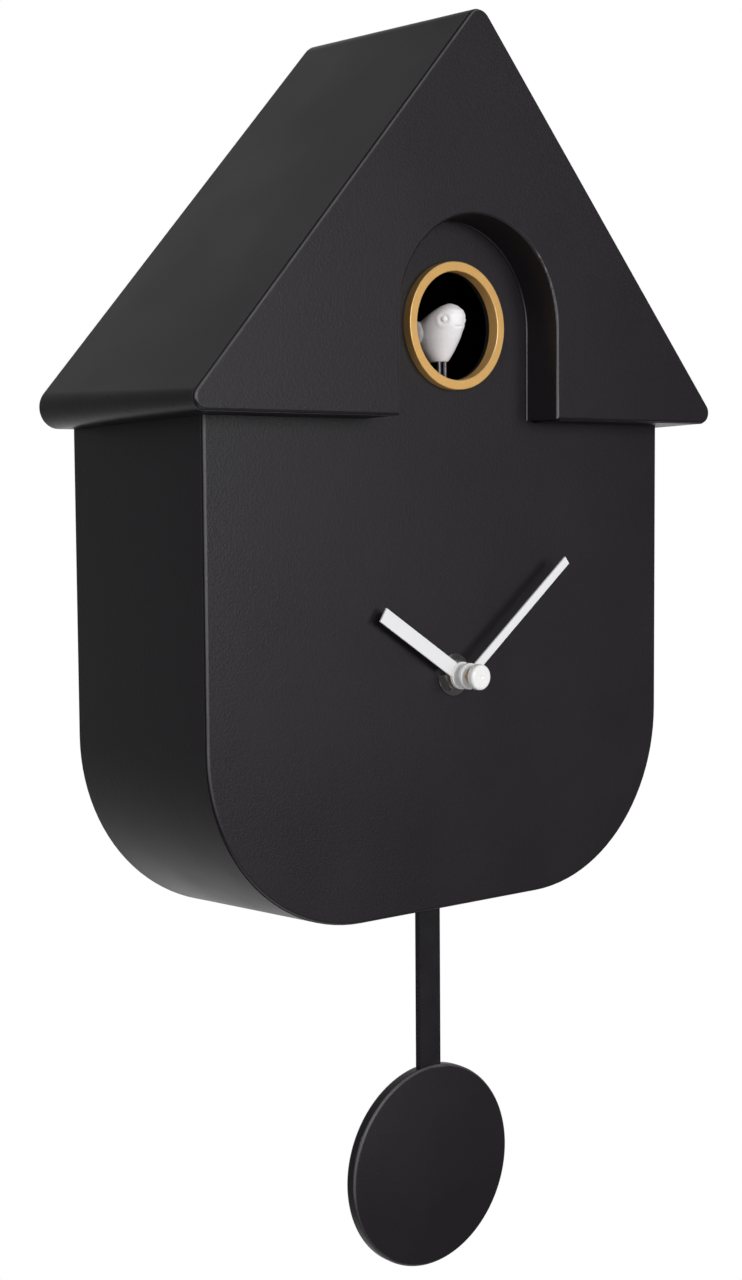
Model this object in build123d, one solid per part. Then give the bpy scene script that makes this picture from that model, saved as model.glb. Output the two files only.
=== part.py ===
from build123d import *
from math import atan, cos, degrees, pi, radians, sin, sqrt, tan
import os

# Battery cuckoo clock in the shape of a house, hung on a wall.
# Millimetres. The origin is the centre of the hanging keyhole, in the plane of the wall.
# +X is to the right seen from the front, +Y goes into the wall, +Z is up.
# Heights are measured up from the lowest edge of the dial panel, depths forward from the wall.

# ---------------------------------------------------------------- driving dimensions

hang_height = 226.0             # keyhole above the lowest edge of the dial panel

# clearances
panel_gap = 0.3                 # gap between shells, plates and covers
fit_gap = 0.05                  # radial gap of fitted round pieces
hole_gap = 0.2                  # radial gap of screw and head holes
end_play = 0.2                  # end play of arbors in their blind bearings
cut_past = 1.0                  # extra length of a cut that goes right through
least_radius = 0.6              # smallest rounding of an inner corner

# roof
roof_depth = 80.0
roof_width = 225.0              # between the sharp eave corners, before rounding
roof_rise = 127.4               # eaves to the sharp apex
roof_flare = 2.7                # growth on each face from front to wall, from the mould draft
apex_radius = 5.0
eave_radius = 3.8
eaves_height = 156.4
shell_wall = 2.5
plate_thickness = 2.4
plate_rim = 1.2                 # edge of a front plate, which covers the end of its shell
plate_edge_radius = 0.8
seam_inset = 0.2                # how far a front plate stays inside its shell's outline
lip_depth = 4.0                 # locating lip behind each front plate
lip_wall = 1.5

# body
eave_overhang = 16.65           # sharp eave corner past the body's side
body_depth = 66.3
body_corner_radius = 57.8
body_flare = 2.6
body_tuck = 2.0                 # how far the body walls rise past the eaves line, inside the roof

# arch in the roof front and the bird's window
window_rise = 29.2              # window centre above the eaves
arch_half_width = 33.4
arch_wall = 2.0
arch_draft = 3.0                # degrees
arch_foot = 0.3                 # bevelled foot of the arch's wall, against the dial panel
arch_foot_angle = 45.0          # degrees
tongue_margin = 8.0             # panel behind the arch, past the arch's wall
window_radius = 17.0
ring_radius = 20.0
ring_stand_out = 3.05
ring_spigot_radius = 18.4
ring_spigot_depth = 0.8
ring_edge_radius = 0.3

# quartz movement
arbor_height = 75.2
case_size = 56.0
case_depth = 15.0
case_wall = 1.5
case_corner_radius = 3.0
bush_radius = 3.9
bush_wall = 1.2
bush_reach = 3.1                # bush in front of the dial panel
bush_chamfer = 0.3
dial_washer_radius = 6.7
dial_washer_thickness = 0.6
dial_nut_across_flats = 10.0
dial_nut_thickness = 2.0
dial_nut_chamfer = 0.7          # taken off the corners of the nut, half as deep as wide
hour_tube_wall = 0.75

# hands
hour_hand_stand_off = 3.5       # back of the hour hand in front of the dial panel
hour_hand_length = 38.4
hour_hand_width = 4.8
hour_hand_lag = 1.5             # degrees that the hour hand was pressed on behind its true place
hour_hub_radius = 4.4
hand_spacing = 3.6              # back of the minute hand in front of the hour hand's back
minute_hand_length = 56.6
minute_hand_width = 2.8
minute_hub_radius = 4.2
hand_thickness = 0.6
hub_thickness = 1.2
hub_edge_radius = 0.35
minute_nut_across_flats = 4.4
minute_nut_thickness = 1.4
cap_radius = 4.1
cap_thickness = 2.2
cap_edge_radius = 1.0
cap_stem_radius = 1.6
cap_stem_length = 1.7
cap_dimple_radius = 0.9
cap_dimple_depth = 0.36
shown_time = (10, 8.5)          # hour and minutes that the hands show at rest

# gear teeth: heights in modules, widths as shares of the width at the pitch circle
tooth_root_depth = 1.2
tooth_tip_height = 0.9
tooth_root_share = 1.45
tooth_tip_share = 0.42

# motion works inside the movement
motion_distance = 12.0          # both wheel pairs share this centre distance
cannon_teeth = 12
motion_wheel_teeth = 36
motion_pinion_teeth = 10
hour_wheel_teeth = 40
setting_teeth = 12
setting_angle = 30.0            # direction from the motion wheel to the setting arbor
wheel_thickness = 1.4
wheel_wall_gap = 0.4            # front wheel level behind the case's front wall
wheel_level_gap = 0.5
motion_arbor_radius = 0.9
setting_arbor_radius = 1.5
bearing_wall = 1.5
bearing_rise = 2.0              # bearing bosses above the case's rear wall
bearing_floor = 0.8             # what stays of the rear wall behind a blind bearing
setting_knob_radius = 7.0
setting_knob_thickness = 3.2
setting_knob_gap = 0.4          # knob behind the case
knob_flutes = 18
knob_flute_radius = 0.7

# stepping motor of the movement
stator_width = 16.0
stator_leg = 4.0
stator_height = 18.0
stator_thickness = 1.0
stator_margin = 1.0             # to the case's side wall
stator_drop = 1.5               # top of the stator below the case's top wall
stepper_coil_radius = 2.6
stepper_coil_length = 14.0
stepper_core_width = 2.4
board_over_stator = 5.2         # movement board in front of the stator

# cells
cell_radius = 7.1
cell_length = 49.5
cell_edge_radius = 0.6
cell_button_radius = 2.6
cell_button_length = 1.0
cell_gap = 0.6
shelf_gap = 0.2                 # between the movement's cell and the shelf above it
shelf_thickness = 1.0
cell_bay_margin = 1.4           # opening in the case's back, past each end of the cell
contact_thickness = 0.4
contact_width = 8.0
contact_room = 1.2              # for the contacts, at each end of the battery bay
contact_gap = 0.1

# pendulum
pendulum_setback = 11.0         # front face of the disc behind the dial panel's front
pendulum_disc_radius = 33.5
pendulum_disc_thickness = 4.2
pendulum_disc_drop = 88.5       # disc centre below the dial panel's lowest edge
pendulum_disc_edge = 1.0
disc_skin = 0.9                 # what covers the rod's end at the front of the disc
rod_width = 8.9
rod_thickness = 2.2
rod_corner_radius = 1.5
rod_top_height = 25.0
pivot_height = 38.0
pivot_radius = 1.2
hanger_thickness = 1.6
hanger_width = 7.0
hanger_end_radius = 3.3
hanger_foot_height = 14.0
hook_radius = 1.4
hook_inset = 4.0                # hook below the rod's top
hook_neck = 0.2                 # gap between the rod and the hook's head
head_thickness = 0.8            # heads of the hook and the pivot pin
head_margin = 1.0               # head past its shank
magnet_radius = 3.0
magnet_thickness = 2.0
magnet_gap = 1.0                # behind and around the swinging magnet
swing_limit = 7.0               # degrees each way
slot_margin = 1.6
drive_width = 46.0
drive_height = 32.0
drive_depth = 12.0
drive_rise = 6.0                # top of the coil case above the pivot
drive_corner_radius = 2.0
drive_wall = 1.2
drive_coil_radius = 5.5
pin_seat = 4.0                  # pivot pin inside the coil case
post_radius = 3.0
post_inset = 4.0                # posts in from the ends of the coil case

# bird; the table's columns are shares of the bird's height
bird_height = 18.1
bird_foot_drop = 10.9           # bird's foot below the window's centre
bird_setback = 4.9              # pins behind the dial panel's front
bird_pin_radius = 0.9
bird_pin_spacing = 2.4
bird_sink = 3.0                 # pins inside the bird and inside the slide
bird_sections = (               # level, middle ahead of the pins, half width, half length
    (0.0, -0.094, 0.149, 0.199),
    (0.182, -0.138, 0.276, 0.365),
    (0.403, -0.199, 0.359, 0.575),
    (0.597, -0.122, 0.359, 0.597),
    (0.785, 0.105, 0.309, 0.392),
    (0.878, 0.177, 0.243, 0.298),
    (0.961, 0.210, 0.133, 0.155),
    (1.0, 0.215, 0.028, 0.033))
bird_eye = (0.232, 0.343, 0.713, 0.055)          # side, ahead of the pins, level, radius
bird_wing = (0.309, -0.381, 0.497)               # side, ahead of the pins, level
bird_wing_shape = (0.105, 0.387, 0.232)          # half thickness, half length, half height
bird_tail = (0.0, -0.713, 0.475)                 # side, ahead of the pins, level
bird_tail_shape = (0.188, 0.470, 0.099)          # half width, half length, half thickness
bird_beak = (0.0, 0.453, 0.657, 0.072)           # side, ahead of the pins, level, radius
wing_splay = 6.0                # degrees
tail_lift = 12.0                # degrees

# cuckoo drive
carriage_drop = 2.6             # top of the slide below the window's lower edge
carriage_half_width = 5.0
carriage_flange_half_width = 8.0
carriage_flange_thickness = 2.0
carriage_setback = 0.6          # slide's front behind the dial panel
carriage_length = 27.5
carriage_height = 6.5
slide_gap = 0.25
bird_travel = 20.0
rack_teeth = 10
rack_module = 0.8
rack_pinion_teeth = 12
rack_width = 5.0
rack_play = 0.16
rack_setback = 3.3              # pinion behind the slide's front at the end of its travel
reduction_module = 0.5
reduction_teeth = 30
motor_pinion_teeth = 10
gear_width = 2.5
gear_play = 0.12
gear_side_gap = 1.0             # gears beside the rail and beside the motor
drive_shaft_radius = 1.5
drive_shaft_tip = 0.4           # shaft past the far rail
motor_shaft_radius = 0.75
motor_shaft_seat = 2.5          # motor shaft inside the can
motor_radius = 6.0
motor_length = 15.0
motor_edge_radius = 0.8
rail_thickness = 4.6
rail_length = 50.0
rail_rise = 1.0                 # rails above the slide's top
groove_stop = 1.5               # what closes the grooves at the back
frame_floor = 2.0
floor_gap = 2.0                 # floor below the reduction gear
flange_thickness = 2.0
flange_half_width = 22.0
flange_height = 12.0
peg_radius = 1.5
peg_inset = 4.0                 # pegs in from the flange's ends
peg_rise = 5.7                  # pegs above the flange's lower edge
peg_tip = 1.0                   # pegs past the flange
cradle_wall = 1.5

# back cover
keyhole_head_radius = 4.5
keyhole_slot_radius = 2.2
keyhole_slot_length = 8.0
cover_thickness = 2.4
access_width = 72.0
access_height = 74.0
access_corner = 6.0
screw_head_radius = 2.7
screw_head_height = 1.2
screw_shank_radius = 1.2
screw_length = 12.0
screw_tip_gap = 1.0
screw_slot_width = 0.7
screw_slot_depth = 0.6
boss_radius = 4.6
boss_bite = 0.4                 # how far a boss is sunk into the wall beside it
boss_length = 24.0
boss_drop = 12.0                # upper bosses of the body below the eaves
boss_angle = 20.0               # lower bosses of the body up its round corners, in degrees

# battery box
battery_height = 21.0           # height of the cells' middle
battery_wall = 1.5
finger_slot_length = 12.0
finger_slot_width = 5.0
door_thickness = 1.6
door_overlap = 2.5
door_corner = 2.0
door_notch_length = 9.0
door_notch_width = 3.0
door_notch_depth = 0.8

# loudspeaker and sound board, one on each side
side_unit_inset = 33.85         # their centres in from the body's sides
speaker_height = 112.0
speaker_radius = 18.0
speaker_rim = 2.0
speaker_rim_depth = 2.0
speaker_depth = 10.0
speaker_collar = 3.0
cone_depth = 6.0
cone_skin = 1.2
basket_taper = 42.0             # degrees
cone_taper = 55.0               # degrees
speaker_magnet_radius = 9.0
grille_hole_radius = 1.3
grille_pitch = 5.0
board_height = 104.0
board_width = 36.0
board_length = 48.0
board_corner = 1.5
board_thickness = 1.6
board_stand_off = 10.0
board_post_inset = 3.0
board_post_radius = 2.5
board_pin_radius = 1.0
board_pin_tip = 0.8
chip_radius = 6.0
chip_height = 1.6
chip_taper = 40.0               # degrees
control_offset = 14.0           # switch above the board's middle, volume wheel below it
control_recess = 0.3            # volume wheel inside the cover's face
switch_travel = 4.0
switch_pad_width = 3.2
switch_pad_height = 3.6
switch_pad_inset = 0.4          # pad inside both faces of the cover
switch_stem = 2.0
switch_body_margin = 4.0        # case past the stem's travel
switch_body_height = 6.0
switch_body_depth = 3.2
switch_floor = 1.4
volume_radius = 5.6
volume_thickness = 2.4
volume_window_margin = 0.6
volume_flute_radius = 0.4
volume_pin_radius = 1.0
volume_pin_tip = 0.4
volume_arm_width = 4.0
volume_arm_thickness = 1.4
volume_foot_width = 8.0
volume_foot_height = 4.0
volume_foot_thickness = 0.8

# ---------------------------------------------------------------- derived places

body_width = roof_width - 2 * eave_overhang
bottom_z = -hang_height
eaves_z = bottom_z + eaves_height
apex_z = eaves_z + roof_rise
window_z = eaves_z + window_rise
arbor_z = bottom_z + arbor_height
roof_half_angle = atan(roof_width / 2 / roof_rise)
roof_taper = degrees(atan(roof_flare / roof_depth))
body_taper = degrees(atan(body_flare / body_depth))
panel_back = body_depth - plate_thickness
plate_back = roof_depth - plate_thickness
body_shell_depth = body_depth - plate_rim
roof_shell_depth = roof_depth - plate_rim

case_back = panel_back - case_depth
case_front_wall = panel_back - case_wall
front_level = case_front_wall - wheel_wall_gap - wheel_thickness
rear_level = front_level - wheel_level_gap - wheel_thickness
cannon_module = 2 * motion_distance / (cannon_teeth + motion_wheel_teeth)
hour_module = 2 * motion_distance / (motion_pinion_teeth + hour_wheel_teeth)
motion_z = arbor_z + motion_distance
setting_distance = cannon_module * (setting_teeth + motion_wheel_teeth) / 2
setting_x = setting_distance * cos(radians(setting_angle))
setting_z = motion_z + setting_distance * sin(radians(setting_angle))
hour_tube_radius = bush_radius - bush_wall - fit_gap
minute_arbor_radius = hour_tube_radius - hour_tube_wall - fit_gap
hour_hand_depth = body_depth + hour_hand_stand_off
minute_hand_depth = hour_hand_depth + hand_spacing
minute_arbor_end = minute_hand_depth + hub_thickness + minute_nut_thickness
cap_front = minute_arbor_end + cap_stem_length + cap_thickness
cell_bay_z = arbor_z - case_size / 2 + case_wall + cell_radius + cell_gap
case_split = case_back + case_wall + cell_radius

pendulum_front = body_depth - pendulum_setback
hanger_front = pendulum_front - disc_skin - rod_thickness
hanger_back = hanger_front - hanger_thickness
drive_front = hanger_back - panel_gap
pivot_z = bottom_z + pivot_height
hook_z = bottom_z + rod_top_height - hook_inset
magnet_z = bottom_z + hanger_foot_height + hanger_width / 2

bird_foot_z = window_z - bird_foot_drop
bird_pin_depth = body_depth - bird_setback
carriage_top = window_z - window_radius - carriage_drop
carriage_front = panel_back - carriage_setback
carriage_back = carriage_front - carriage_length
rack_base_z = carriage_top - carriage_height
rack_pitch_z = rack_base_z - tooth_root_depth * rack_module
drive_gear_z = rack_pitch_z - rack_module * rack_pinion_teeth / 2
drive_gear_depth = carriage_front - bird_travel - rack_setback
motor_depth = drive_gear_depth - reduction_module * (reduction_teeth + motor_pinion_teeth) / 2
rail_outside = carriage_half_width + slide_gap + rail_thickness
gear_x = rail_outside + gear_side_gap
motor_x = gear_x + gear_width + gear_side_gap
floor_z = drive_gear_z - reduction_module * reduction_teeth / 2 - floor_gap

battery_z = bottom_z + battery_height
bay_width = cell_length + cell_button_length + 2 * cell_gap + 2 * contact_room
bay_height = 4 * cell_radius + 3 * cell_gap
cell_depth = cover_thickness + cell_radius + cell_gap
speaker_x = body_width / 2 - side_unit_inset
speaker_z = bottom_z + speaker_height
board_x = -speaker_x
board_z = bottom_z + board_height
board_depth = cover_thickness + board_stand_off
switch_z = board_z + control_offset
volume_z = board_z - control_offset
volume_depth = volume_radius + control_recess

parts = {}


def height(value):
    """Z of a height above the dial panel's lowest edge."""
    return bottom_z + value


def upright(depth):
    """Plane parallel to the wall; its normal points forward, away from the wall."""
    return Plane.XZ.offset(depth)


def forward(profile, depth, amount, taper=0.0):
    """Extrude a profile drawn in X and Z forward from a depth."""
    return extrude(upright(depth) * profile, amount, taper=taper)


def through(profile, depth, amount):
    """Cutter that passes a profile right through a wall that starts at depth."""
    return forward(profile, depth - cut_past, amount + 2 * cut_past)


def rod_along_y(radius, x, z, depth, amount):
    return forward(Pos(x, z) * Circle(radius), depth, amount)


def hole_along_y(radius, x, z, depth, amount):
    return through(Pos(x, z) * Circle(radius), depth, amount)


def rod_along_x(radius, depth, z, x_start, amount):
    return extrude(Plane.YZ.offset(x_start) * Pos(-depth, z) * Circle(radius), amount)


def block(x_range, depth_range, z_range):
    """Box from its ranges in X, in depth from the wall and in Z."""
    size = (x_range[1] - x_range[0], depth_range[1] - depth_range[0], z_range[1] - z_range[0])
    centre_x = sum(x_range) / 2
    centre_y = -sum(depth_range) / 2
    centre_z = sum(z_range) / 2
    return Pos(centre_x, centre_y, centre_z) * Box(*size)


def around(middle, half):
    """Range of half to each side of a middle."""
    return middle - half, middle + half


def hexagon(across_flats):
    return RegularPolygon(across_flats / sqrt(3), 6)


def front_face(shape):
    """The face that lies furthest forward of those parallel to the wall."""
    return shape.faces().filter_by(Axis.Y).sort_by(Axis.Y)[0]


def front_edge(shape):
    return shape.edges().sort_by(Axis.Y)[0]


# ---------------------------------------------------------------- profiles

def roof_profile(grow):
    """Rounded gable outline, its three faces moved outward by grow."""
    top = apex_z + grow / sin(roof_half_angle)
    base = eaves_z - grow
    half = (top - base) * tan(roof_half_angle)
    outline = Polygon((-half, base), (half, base), (0, top), align=None)
    corners = outline.vertices().sort_by(Axis.Y)
    outline = fillet(corners[-1], max(apex_radius + grow, least_radius))
    return fillet(outline.vertices().sort_by(Axis.Y)[:2], max(eave_radius + grow, least_radius))


def body_profile(grow, top_z):
    """U outline of the body with round lower corners, moved outward by grow."""
    half = body_width / 2 + grow
    base = bottom_z - grow
    outline = Polygon((-half, base), (half, base), (half, top_z), (-half, top_z), align=None)
    return fillet(outline.vertices().sort_by(Axis.Y)[:2], body_corner_radius + grow)


def arch_profile(half, foot_z):
    """Semicircle over straight sides that run down to foot_z."""
    legs = Pos(0, (window_z + foot_z) / 2) * Rectangle(2 * half, window_z - foot_z)
    head = Circle(half) & Pos(0, half / 2) * Rectangle(2 * half, half)
    return legs + Pos(0, window_z) * head


# ---------------------------------------------------------------- gears

def gear_profile(teeth, module, play=gear_play):
    """Spur gear outline with short curved-flank teeth; play thins each tooth at the pitch circle."""
    pitch = module * teeth / 2
    root = pitch - tooth_root_depth * module
    tip = pitch + tooth_tip_height * module
    tooth_angle = 2 * pi / teeth
    half_tooth = (pi * module / 2 - play) / 2 / pitch
    shape = ((root, half_tooth * tooth_root_share), (pitch, half_tooth), (tip, half_tooth * tooth_tip_share))
    points = []
    for number in range(teeth):
        middle = number * tooth_angle
        for radius, half in shape:
            points.append((radius * cos(middle - half), radius * sin(middle - half)))
        for radius, half in reversed(shape):
            points.append((radius * cos(middle + half), radius * sin(middle + half)))
    return Polygon(*points, align=None)


def wheel_along_y(teeth, module, x, z, depth, turn, width=wheel_thickness):
    """Spur wheel on an axis along Y, its first tooth turned from +X towards +Z by turn degrees."""
    return forward(Pos(x, z) * Rot(0, 0, turn) * gear_profile(teeth, module), depth, width)


def wheel_along_x(teeth, module, depth, x_start, turn, width=gear_width):
    """Spur wheel on an axis along X, its first tooth turned from +Y towards +Z by turn degrees."""
    place = Plane.YZ.offset(x_start) * Pos(-depth, drive_gear_z) * Rot(0, 0, turn)
    return extrude(place * gear_profile(teeth, module), width)


def fluted_circle(radius, flute_radius):
    """Round knob outline with flutes for the finger."""
    outline = Circle(radius)
    for number in range(knob_flutes):
        angle = 2 * pi * number / knob_flutes
        outline -= Pos(radius * cos(angle), radius * sin(angle)) * Circle(flute_radius)
    return outline


# ---------------------------------------------------------------- house

def roof_outer(grow, depth):
    return forward(roof_profile(roof_flare + grow), 0, depth, roof_taper)


def body_outer(grow, depth, top_z):
    """Drafted body; its profile starts higher by the flare, because the draft lowers the top as well."""
    return forward(body_profile(body_flare + grow, top_z + body_flare), 0, depth, body_taper)


def roof_boss_places():
    """Screw bosses sunk a little into the roof walls: one under the apex, two in the eave corners."""
    reach = boss_radius - boss_bite
    inner_apex = apex_z + (roof_flare - shell_wall) / sin(roof_half_angle)
    inner_base = eaves_z - roof_flare + shell_wall
    eave_angle = pi / 2 - roof_half_angle
    corner = (inner_apex - inner_base) * tan(roof_half_angle)
    inset = reach / tan(eave_angle / 2)
    return [(0, inner_apex - reach / sin(roof_half_angle)),
            (-corner + inset, inner_base + reach), (corner - inset, inner_base + reach)]


def body_boss_places():
    """Screw bosses sunk a little into the body's walls: two under the eaves, two in the round corners."""
    reach = shell_wall + boss_radius - boss_bite
    side = body_width / 2 + body_flare - reach
    high = eaves_z - boss_drop
    corner = body_corner_radius + body_flare - reach
    low_side = body_width / 2 - body_corner_radius + corner * sin(radians(boss_angle))
    low = bottom_z + body_corner_radius - corner * cos(radians(boss_angle))
    return [(-side, high), (side, high), (-low_side, low), (low_side, low)]


def bosses(places):
    """Blind screw bosses behind the back cover."""
    group = []
    for x, z in places:
        post = rod_along_y(boss_radius, x, z, cover_thickness, boss_length)
        hole = rod_along_y(screw_shank_radius + fit_gap, x, z, cover_thickness, screw_length + screw_tip_gap)
        group.append(post - hole)
    return group


def make_roof_shell():
    shell = roof_outer(0, roof_shell_depth) - roof_outer(-shell_wall, roof_shell_depth)
    floor_top = eaves_z + shell_wall + cut_past
    shell -= body_outer(panel_gap, body_depth + panel_gap, floor_top)
    notch_half = arch_half_width + arch_wall + panel_gap
    shell -= block((-notch_half, notch_half), (body_depth, roof_depth), (eaves_z - roof_flare, floor_top))
    for boss in bosses(roof_boss_places()):
        shell += boss
    return shell


def make_roof_front_plate():
    """Front of the roof with its locating lip and the drafted arch that frames the window."""
    plate = forward(roof_profile(-seam_inset), roof_shell_depth, plate_rim)
    inside = -shell_wall - panel_gap
    plate += forward(roof_profile(inside), plate_back, plate_thickness)
    lip = roof_profile(inside) - roof_profile(inside - lip_wall)
    plate += forward(lip, plate_back - lip_depth, lip_depth)
    recess_back = body_depth + panel_gap
    recess_depth = roof_depth - recess_back
    draft_growth = recess_depth * tan(radians(arch_draft))
    wall = arch_profile(arch_half_width + arch_wall, eaves_z + seam_inset)
    plate += forward(wall, recess_back, recess_depth - plate_thickness / 2)
    opening_half = arch_half_width - draft_growth
    foot = arch_profile(opening_half - arch_foot, eaves_z - cut_past)
    plate -= forward(foot, recess_back, arch_foot, -arch_foot_angle)
    opening = arch_profile(opening_half, eaves_z - cut_past)
    plate -= forward(opening, recess_back + arch_foot, recess_depth - arch_foot, -arch_draft)
    return fillet(front_face(plate).edges(), plate_edge_radius)


def pendulum_slot():
    """Slot in the body's floor, as long as the rod's swing at that height."""
    rod_middle = pendulum_front - disc_skin - rod_thickness / 2
    swing = radians(swing_limit)
    half = pivot_height * tan(swing) + rod_width / 2 / cos(swing) + slot_margin
    profile = Pos(0, -rod_middle) * SlotOverall(2 * half, rod_thickness + 2 * slot_margin)
    start = bottom_z - body_flare - cut_past
    return extrude(Plane.XY.offset(start) * profile, body_flare + shell_wall + 2 * cut_past)


def make_body_shell():
    top = eaves_z + body_tuck
    shell = body_outer(0, body_shell_depth, top) - body_outer(-shell_wall, body_shell_depth, top + cut_past)
    shell -= pendulum_slot()
    for boss in bosses(body_boss_places()):
        shell += boss
    return shell


def drive_post_places():
    side = drive_width / 2 - post_inset
    return [(-side, pivot_z), (side, pivot_z)]


def frame_peg_places():
    side = flange_half_width - peg_inset
    return [(-side, floor_z + peg_rise), (side, floor_z + peg_rise)]


def make_dial_panel():
    """Front of the body, with a round-headed tongue behind the arch that holds the window."""
    top = eaves_z + body_tuck
    inside = -shell_wall - panel_gap
    panel = forward(body_profile(-seam_inset, top), body_shell_depth, plate_rim)
    panel += forward(body_profile(inside, top), panel_back, plate_thickness)
    tongue_half = arch_half_width + arch_wall + tongue_margin
    panel += forward(arch_profile(tongue_half, eaves_z), panel_back, plate_thickness)
    lip = body_profile(inside, eaves_z) - body_profile(inside - lip_wall, eaves_z + cut_past)
    panel += forward(lip, panel_back - lip_depth, lip_depth)
    panel = fillet(front_face(panel).edges(), plate_edge_radius)
    panel -= hole_along_y(window_radius, 0, window_z, panel_back, plate_thickness)
    rebate = body_depth - ring_spigot_depth
    panel -= rod_along_y(ring_spigot_radius + fit_gap, 0, window_z, rebate, ring_spigot_depth + cut_past)
    panel -= hole_along_y(bush_radius + 2 * fit_gap, 0, arbor_z, panel_back, plate_thickness)
    for x, z in drive_post_places():
        panel += rod_along_y(post_radius, x, z, drive_front, panel_back - drive_front)
    peg_length = flange_thickness + peg_tip
    for x, z in frame_peg_places():
        panel += rod_along_y(peg_radius, x, z, panel_back - peg_length, peg_length)
    return panel


def make_window_ring():
    ring = rod_along_y(ring_radius, 0, window_z, body_depth, ring_stand_out)
    ring += rod_along_y(ring_spigot_radius, 0, window_z, body_depth - ring_spigot_depth, ring_spigot_depth)
    ring -= hole_along_y(window_radius, 0, window_z, panel_back, plate_thickness + ring_stand_out)
    return fillet(front_face(ring).edges(), ring_edge_radius)


# ---------------------------------------------------------------- back cover

def keyhole():
    """Round head hole with a narrower slot above it."""
    head = Circle(keyhole_head_radius)
    slot = Pos(0, keyhole_slot_length / 2) * Rectangle(2 * keyhole_slot_radius, keyhole_slot_length)
    return head + slot + Pos(0, keyhole_slot_length) * Circle(keyhole_slot_radius)


def grille_places():
    """Hexagonal pattern of holes over the loudspeaker's cone."""
    places = []
    field = speaker_radius - speaker_rim - grille_hole_radius
    rings = int(field / grille_pitch)
    for row in range(-rings, rings + 1):
        for column in range(-rings, rings + 1):
            x = grille_pitch * (column + (row % 2) / 2)
            z = grille_pitch * row * sqrt(3) / 2
            if sqrt(x * x + z * z) < field:
                places.append((speaker_x + x, speaker_z + z))
    return places


def board_corners():
    side = board_width / 2 - board_post_inset
    end = board_length / 2 - board_post_inset
    return [(board_x + i * side, board_z + j * end) for i in (-1, 1) for j in (-1, 1)]


def door_profile(gap):
    width = bay_width + 2 * (door_overlap - gap)
    tall = bay_height + 2 * (door_overlap - gap)
    return Pos(0, battery_z) * RectangleRounded(width, tall, door_corner)


def switch_window():
    slot_length = switch_travel + switch_pad_width + 2 * hole_gap
    return Pos(board_x, switch_z) * Rectangle(slot_length, switch_pad_height + 2 * panel_gap)


def volume_window():
    """Slot that shows the thumb wheel's edge, as long as the wheel's chord inside the cover."""
    rise = volume_depth - cover_thickness
    chord = 2 * sqrt(volume_radius ** 2 - rise ** 2)
    width = chord + 2 * volume_window_margin
    return Pos(board_x, volume_z) * Rectangle(width, volume_thickness + 2 * volume_window_margin)


def cover_windows():
    """Every outline that passes right through the back cover, apart from its round holes."""
    access = Pos(0, arbor_z) * RectangleRounded(access_width, access_height, access_corner)
    bay = Pos(0, battery_z) * Rectangle(bay_width, bay_height)
    return [keyhole(), access, bay, switch_window(), volume_window()]


def make_back_cover():
    gable = forward(roof_profile(roof_flare - shell_wall - panel_gap), 0, cover_thickness)
    gable -= body_outer(panel_gap, cover_thickness + cut_past, eaves_z + body_tuck + panel_gap)
    inside = body_flare - shell_wall - panel_gap
    body_top = eaves_z + body_tuck + 2 * cover_thickness
    cover = gable + forward(body_profile(inside, body_top), 0, cover_thickness)
    for outline in cover_windows():
        cover -= through(outline, 0, cover_thickness)
    cover -= forward(door_profile(0), -cut_past, door_thickness + cut_past)
    for x, z in roof_boss_places() + body_boss_places():
        cover -= hole_along_y(screw_shank_radius + hole_gap, x, z, 0, cover_thickness)
        cover -= rod_along_y(screw_head_radius + hole_gap, x, z, -cut_past, screw_head_height + cut_past)
    for x, z in grille_places():
        cover -= hole_along_y(grille_hole_radius, x, z, 0, cover_thickness)
    for x, z in board_corners():
        cover += rod_along_y(board_post_radius, x, z, cover_thickness, board_stand_off)
        cover += rod_along_y(board_pin_radius, x, z, board_depth, board_thickness + board_pin_tip)
    collar = Circle(speaker_radius + speaker_rim) - Circle(speaker_radius + fit_gap)
    return cover + forward(Pos(speaker_x, speaker_z) * collar, cover_thickness, speaker_collar)


def make_cover_screws():
    """Cross-headed screws, one in each boss."""
    screws = []
    slot_half = screw_slot_width / 2
    for x, z in roof_boss_places() + body_boss_places():
        screw = rod_along_y(screw_head_radius, x, z, 0, screw_head_height)
        screw += rod_along_y(screw_shank_radius, x, z, screw_head_height, screw_length)
        depth = (-cut_past, screw_slot_depth)
        screw -= block(around(x, screw_head_radius), depth, around(z, slot_half))
        screw -= block(around(x, slot_half), depth, around(z, screw_head_radius))
        screws.append(screw)
    return screws


# ---------------------------------------------------------------- battery box

def make_battery_door():
    door = forward(door_profile(panel_gap), 0, door_thickness)
    notch = SlotOverall(door_notch_length, door_notch_width, rotation=90)
    return door - forward(Pos(bay_width / 2, battery_z) * notch, -cut_past, door_notch_depth + cut_past)


def make_battery_box():
    deep = 2 * cell_radius + 2 * cell_gap
    place = Pos(0, battery_z)
    outside = place * Rectangle(bay_width + 2 * battery_wall, bay_height + 2 * battery_wall)
    box = forward(outside, cover_thickness, deep + battery_wall)
    box -= forward(place * Rectangle(bay_width, bay_height), cover_thickness, deep)
    slot = Rectangle(finger_slot_length, finger_slot_width)
    for z, direction in cell_places():
        finger = Pos(-direction * cell_length / 4, z) * slot
        box -= through(finger, cover_thickness + deep, battery_wall)
    return box


def cell_places():
    """Both cells' heights and which way the button points."""
    offset = cell_radius + cell_gap / 2
    return [(battery_z - offset, 1), (battery_z + offset, -1)]


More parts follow.
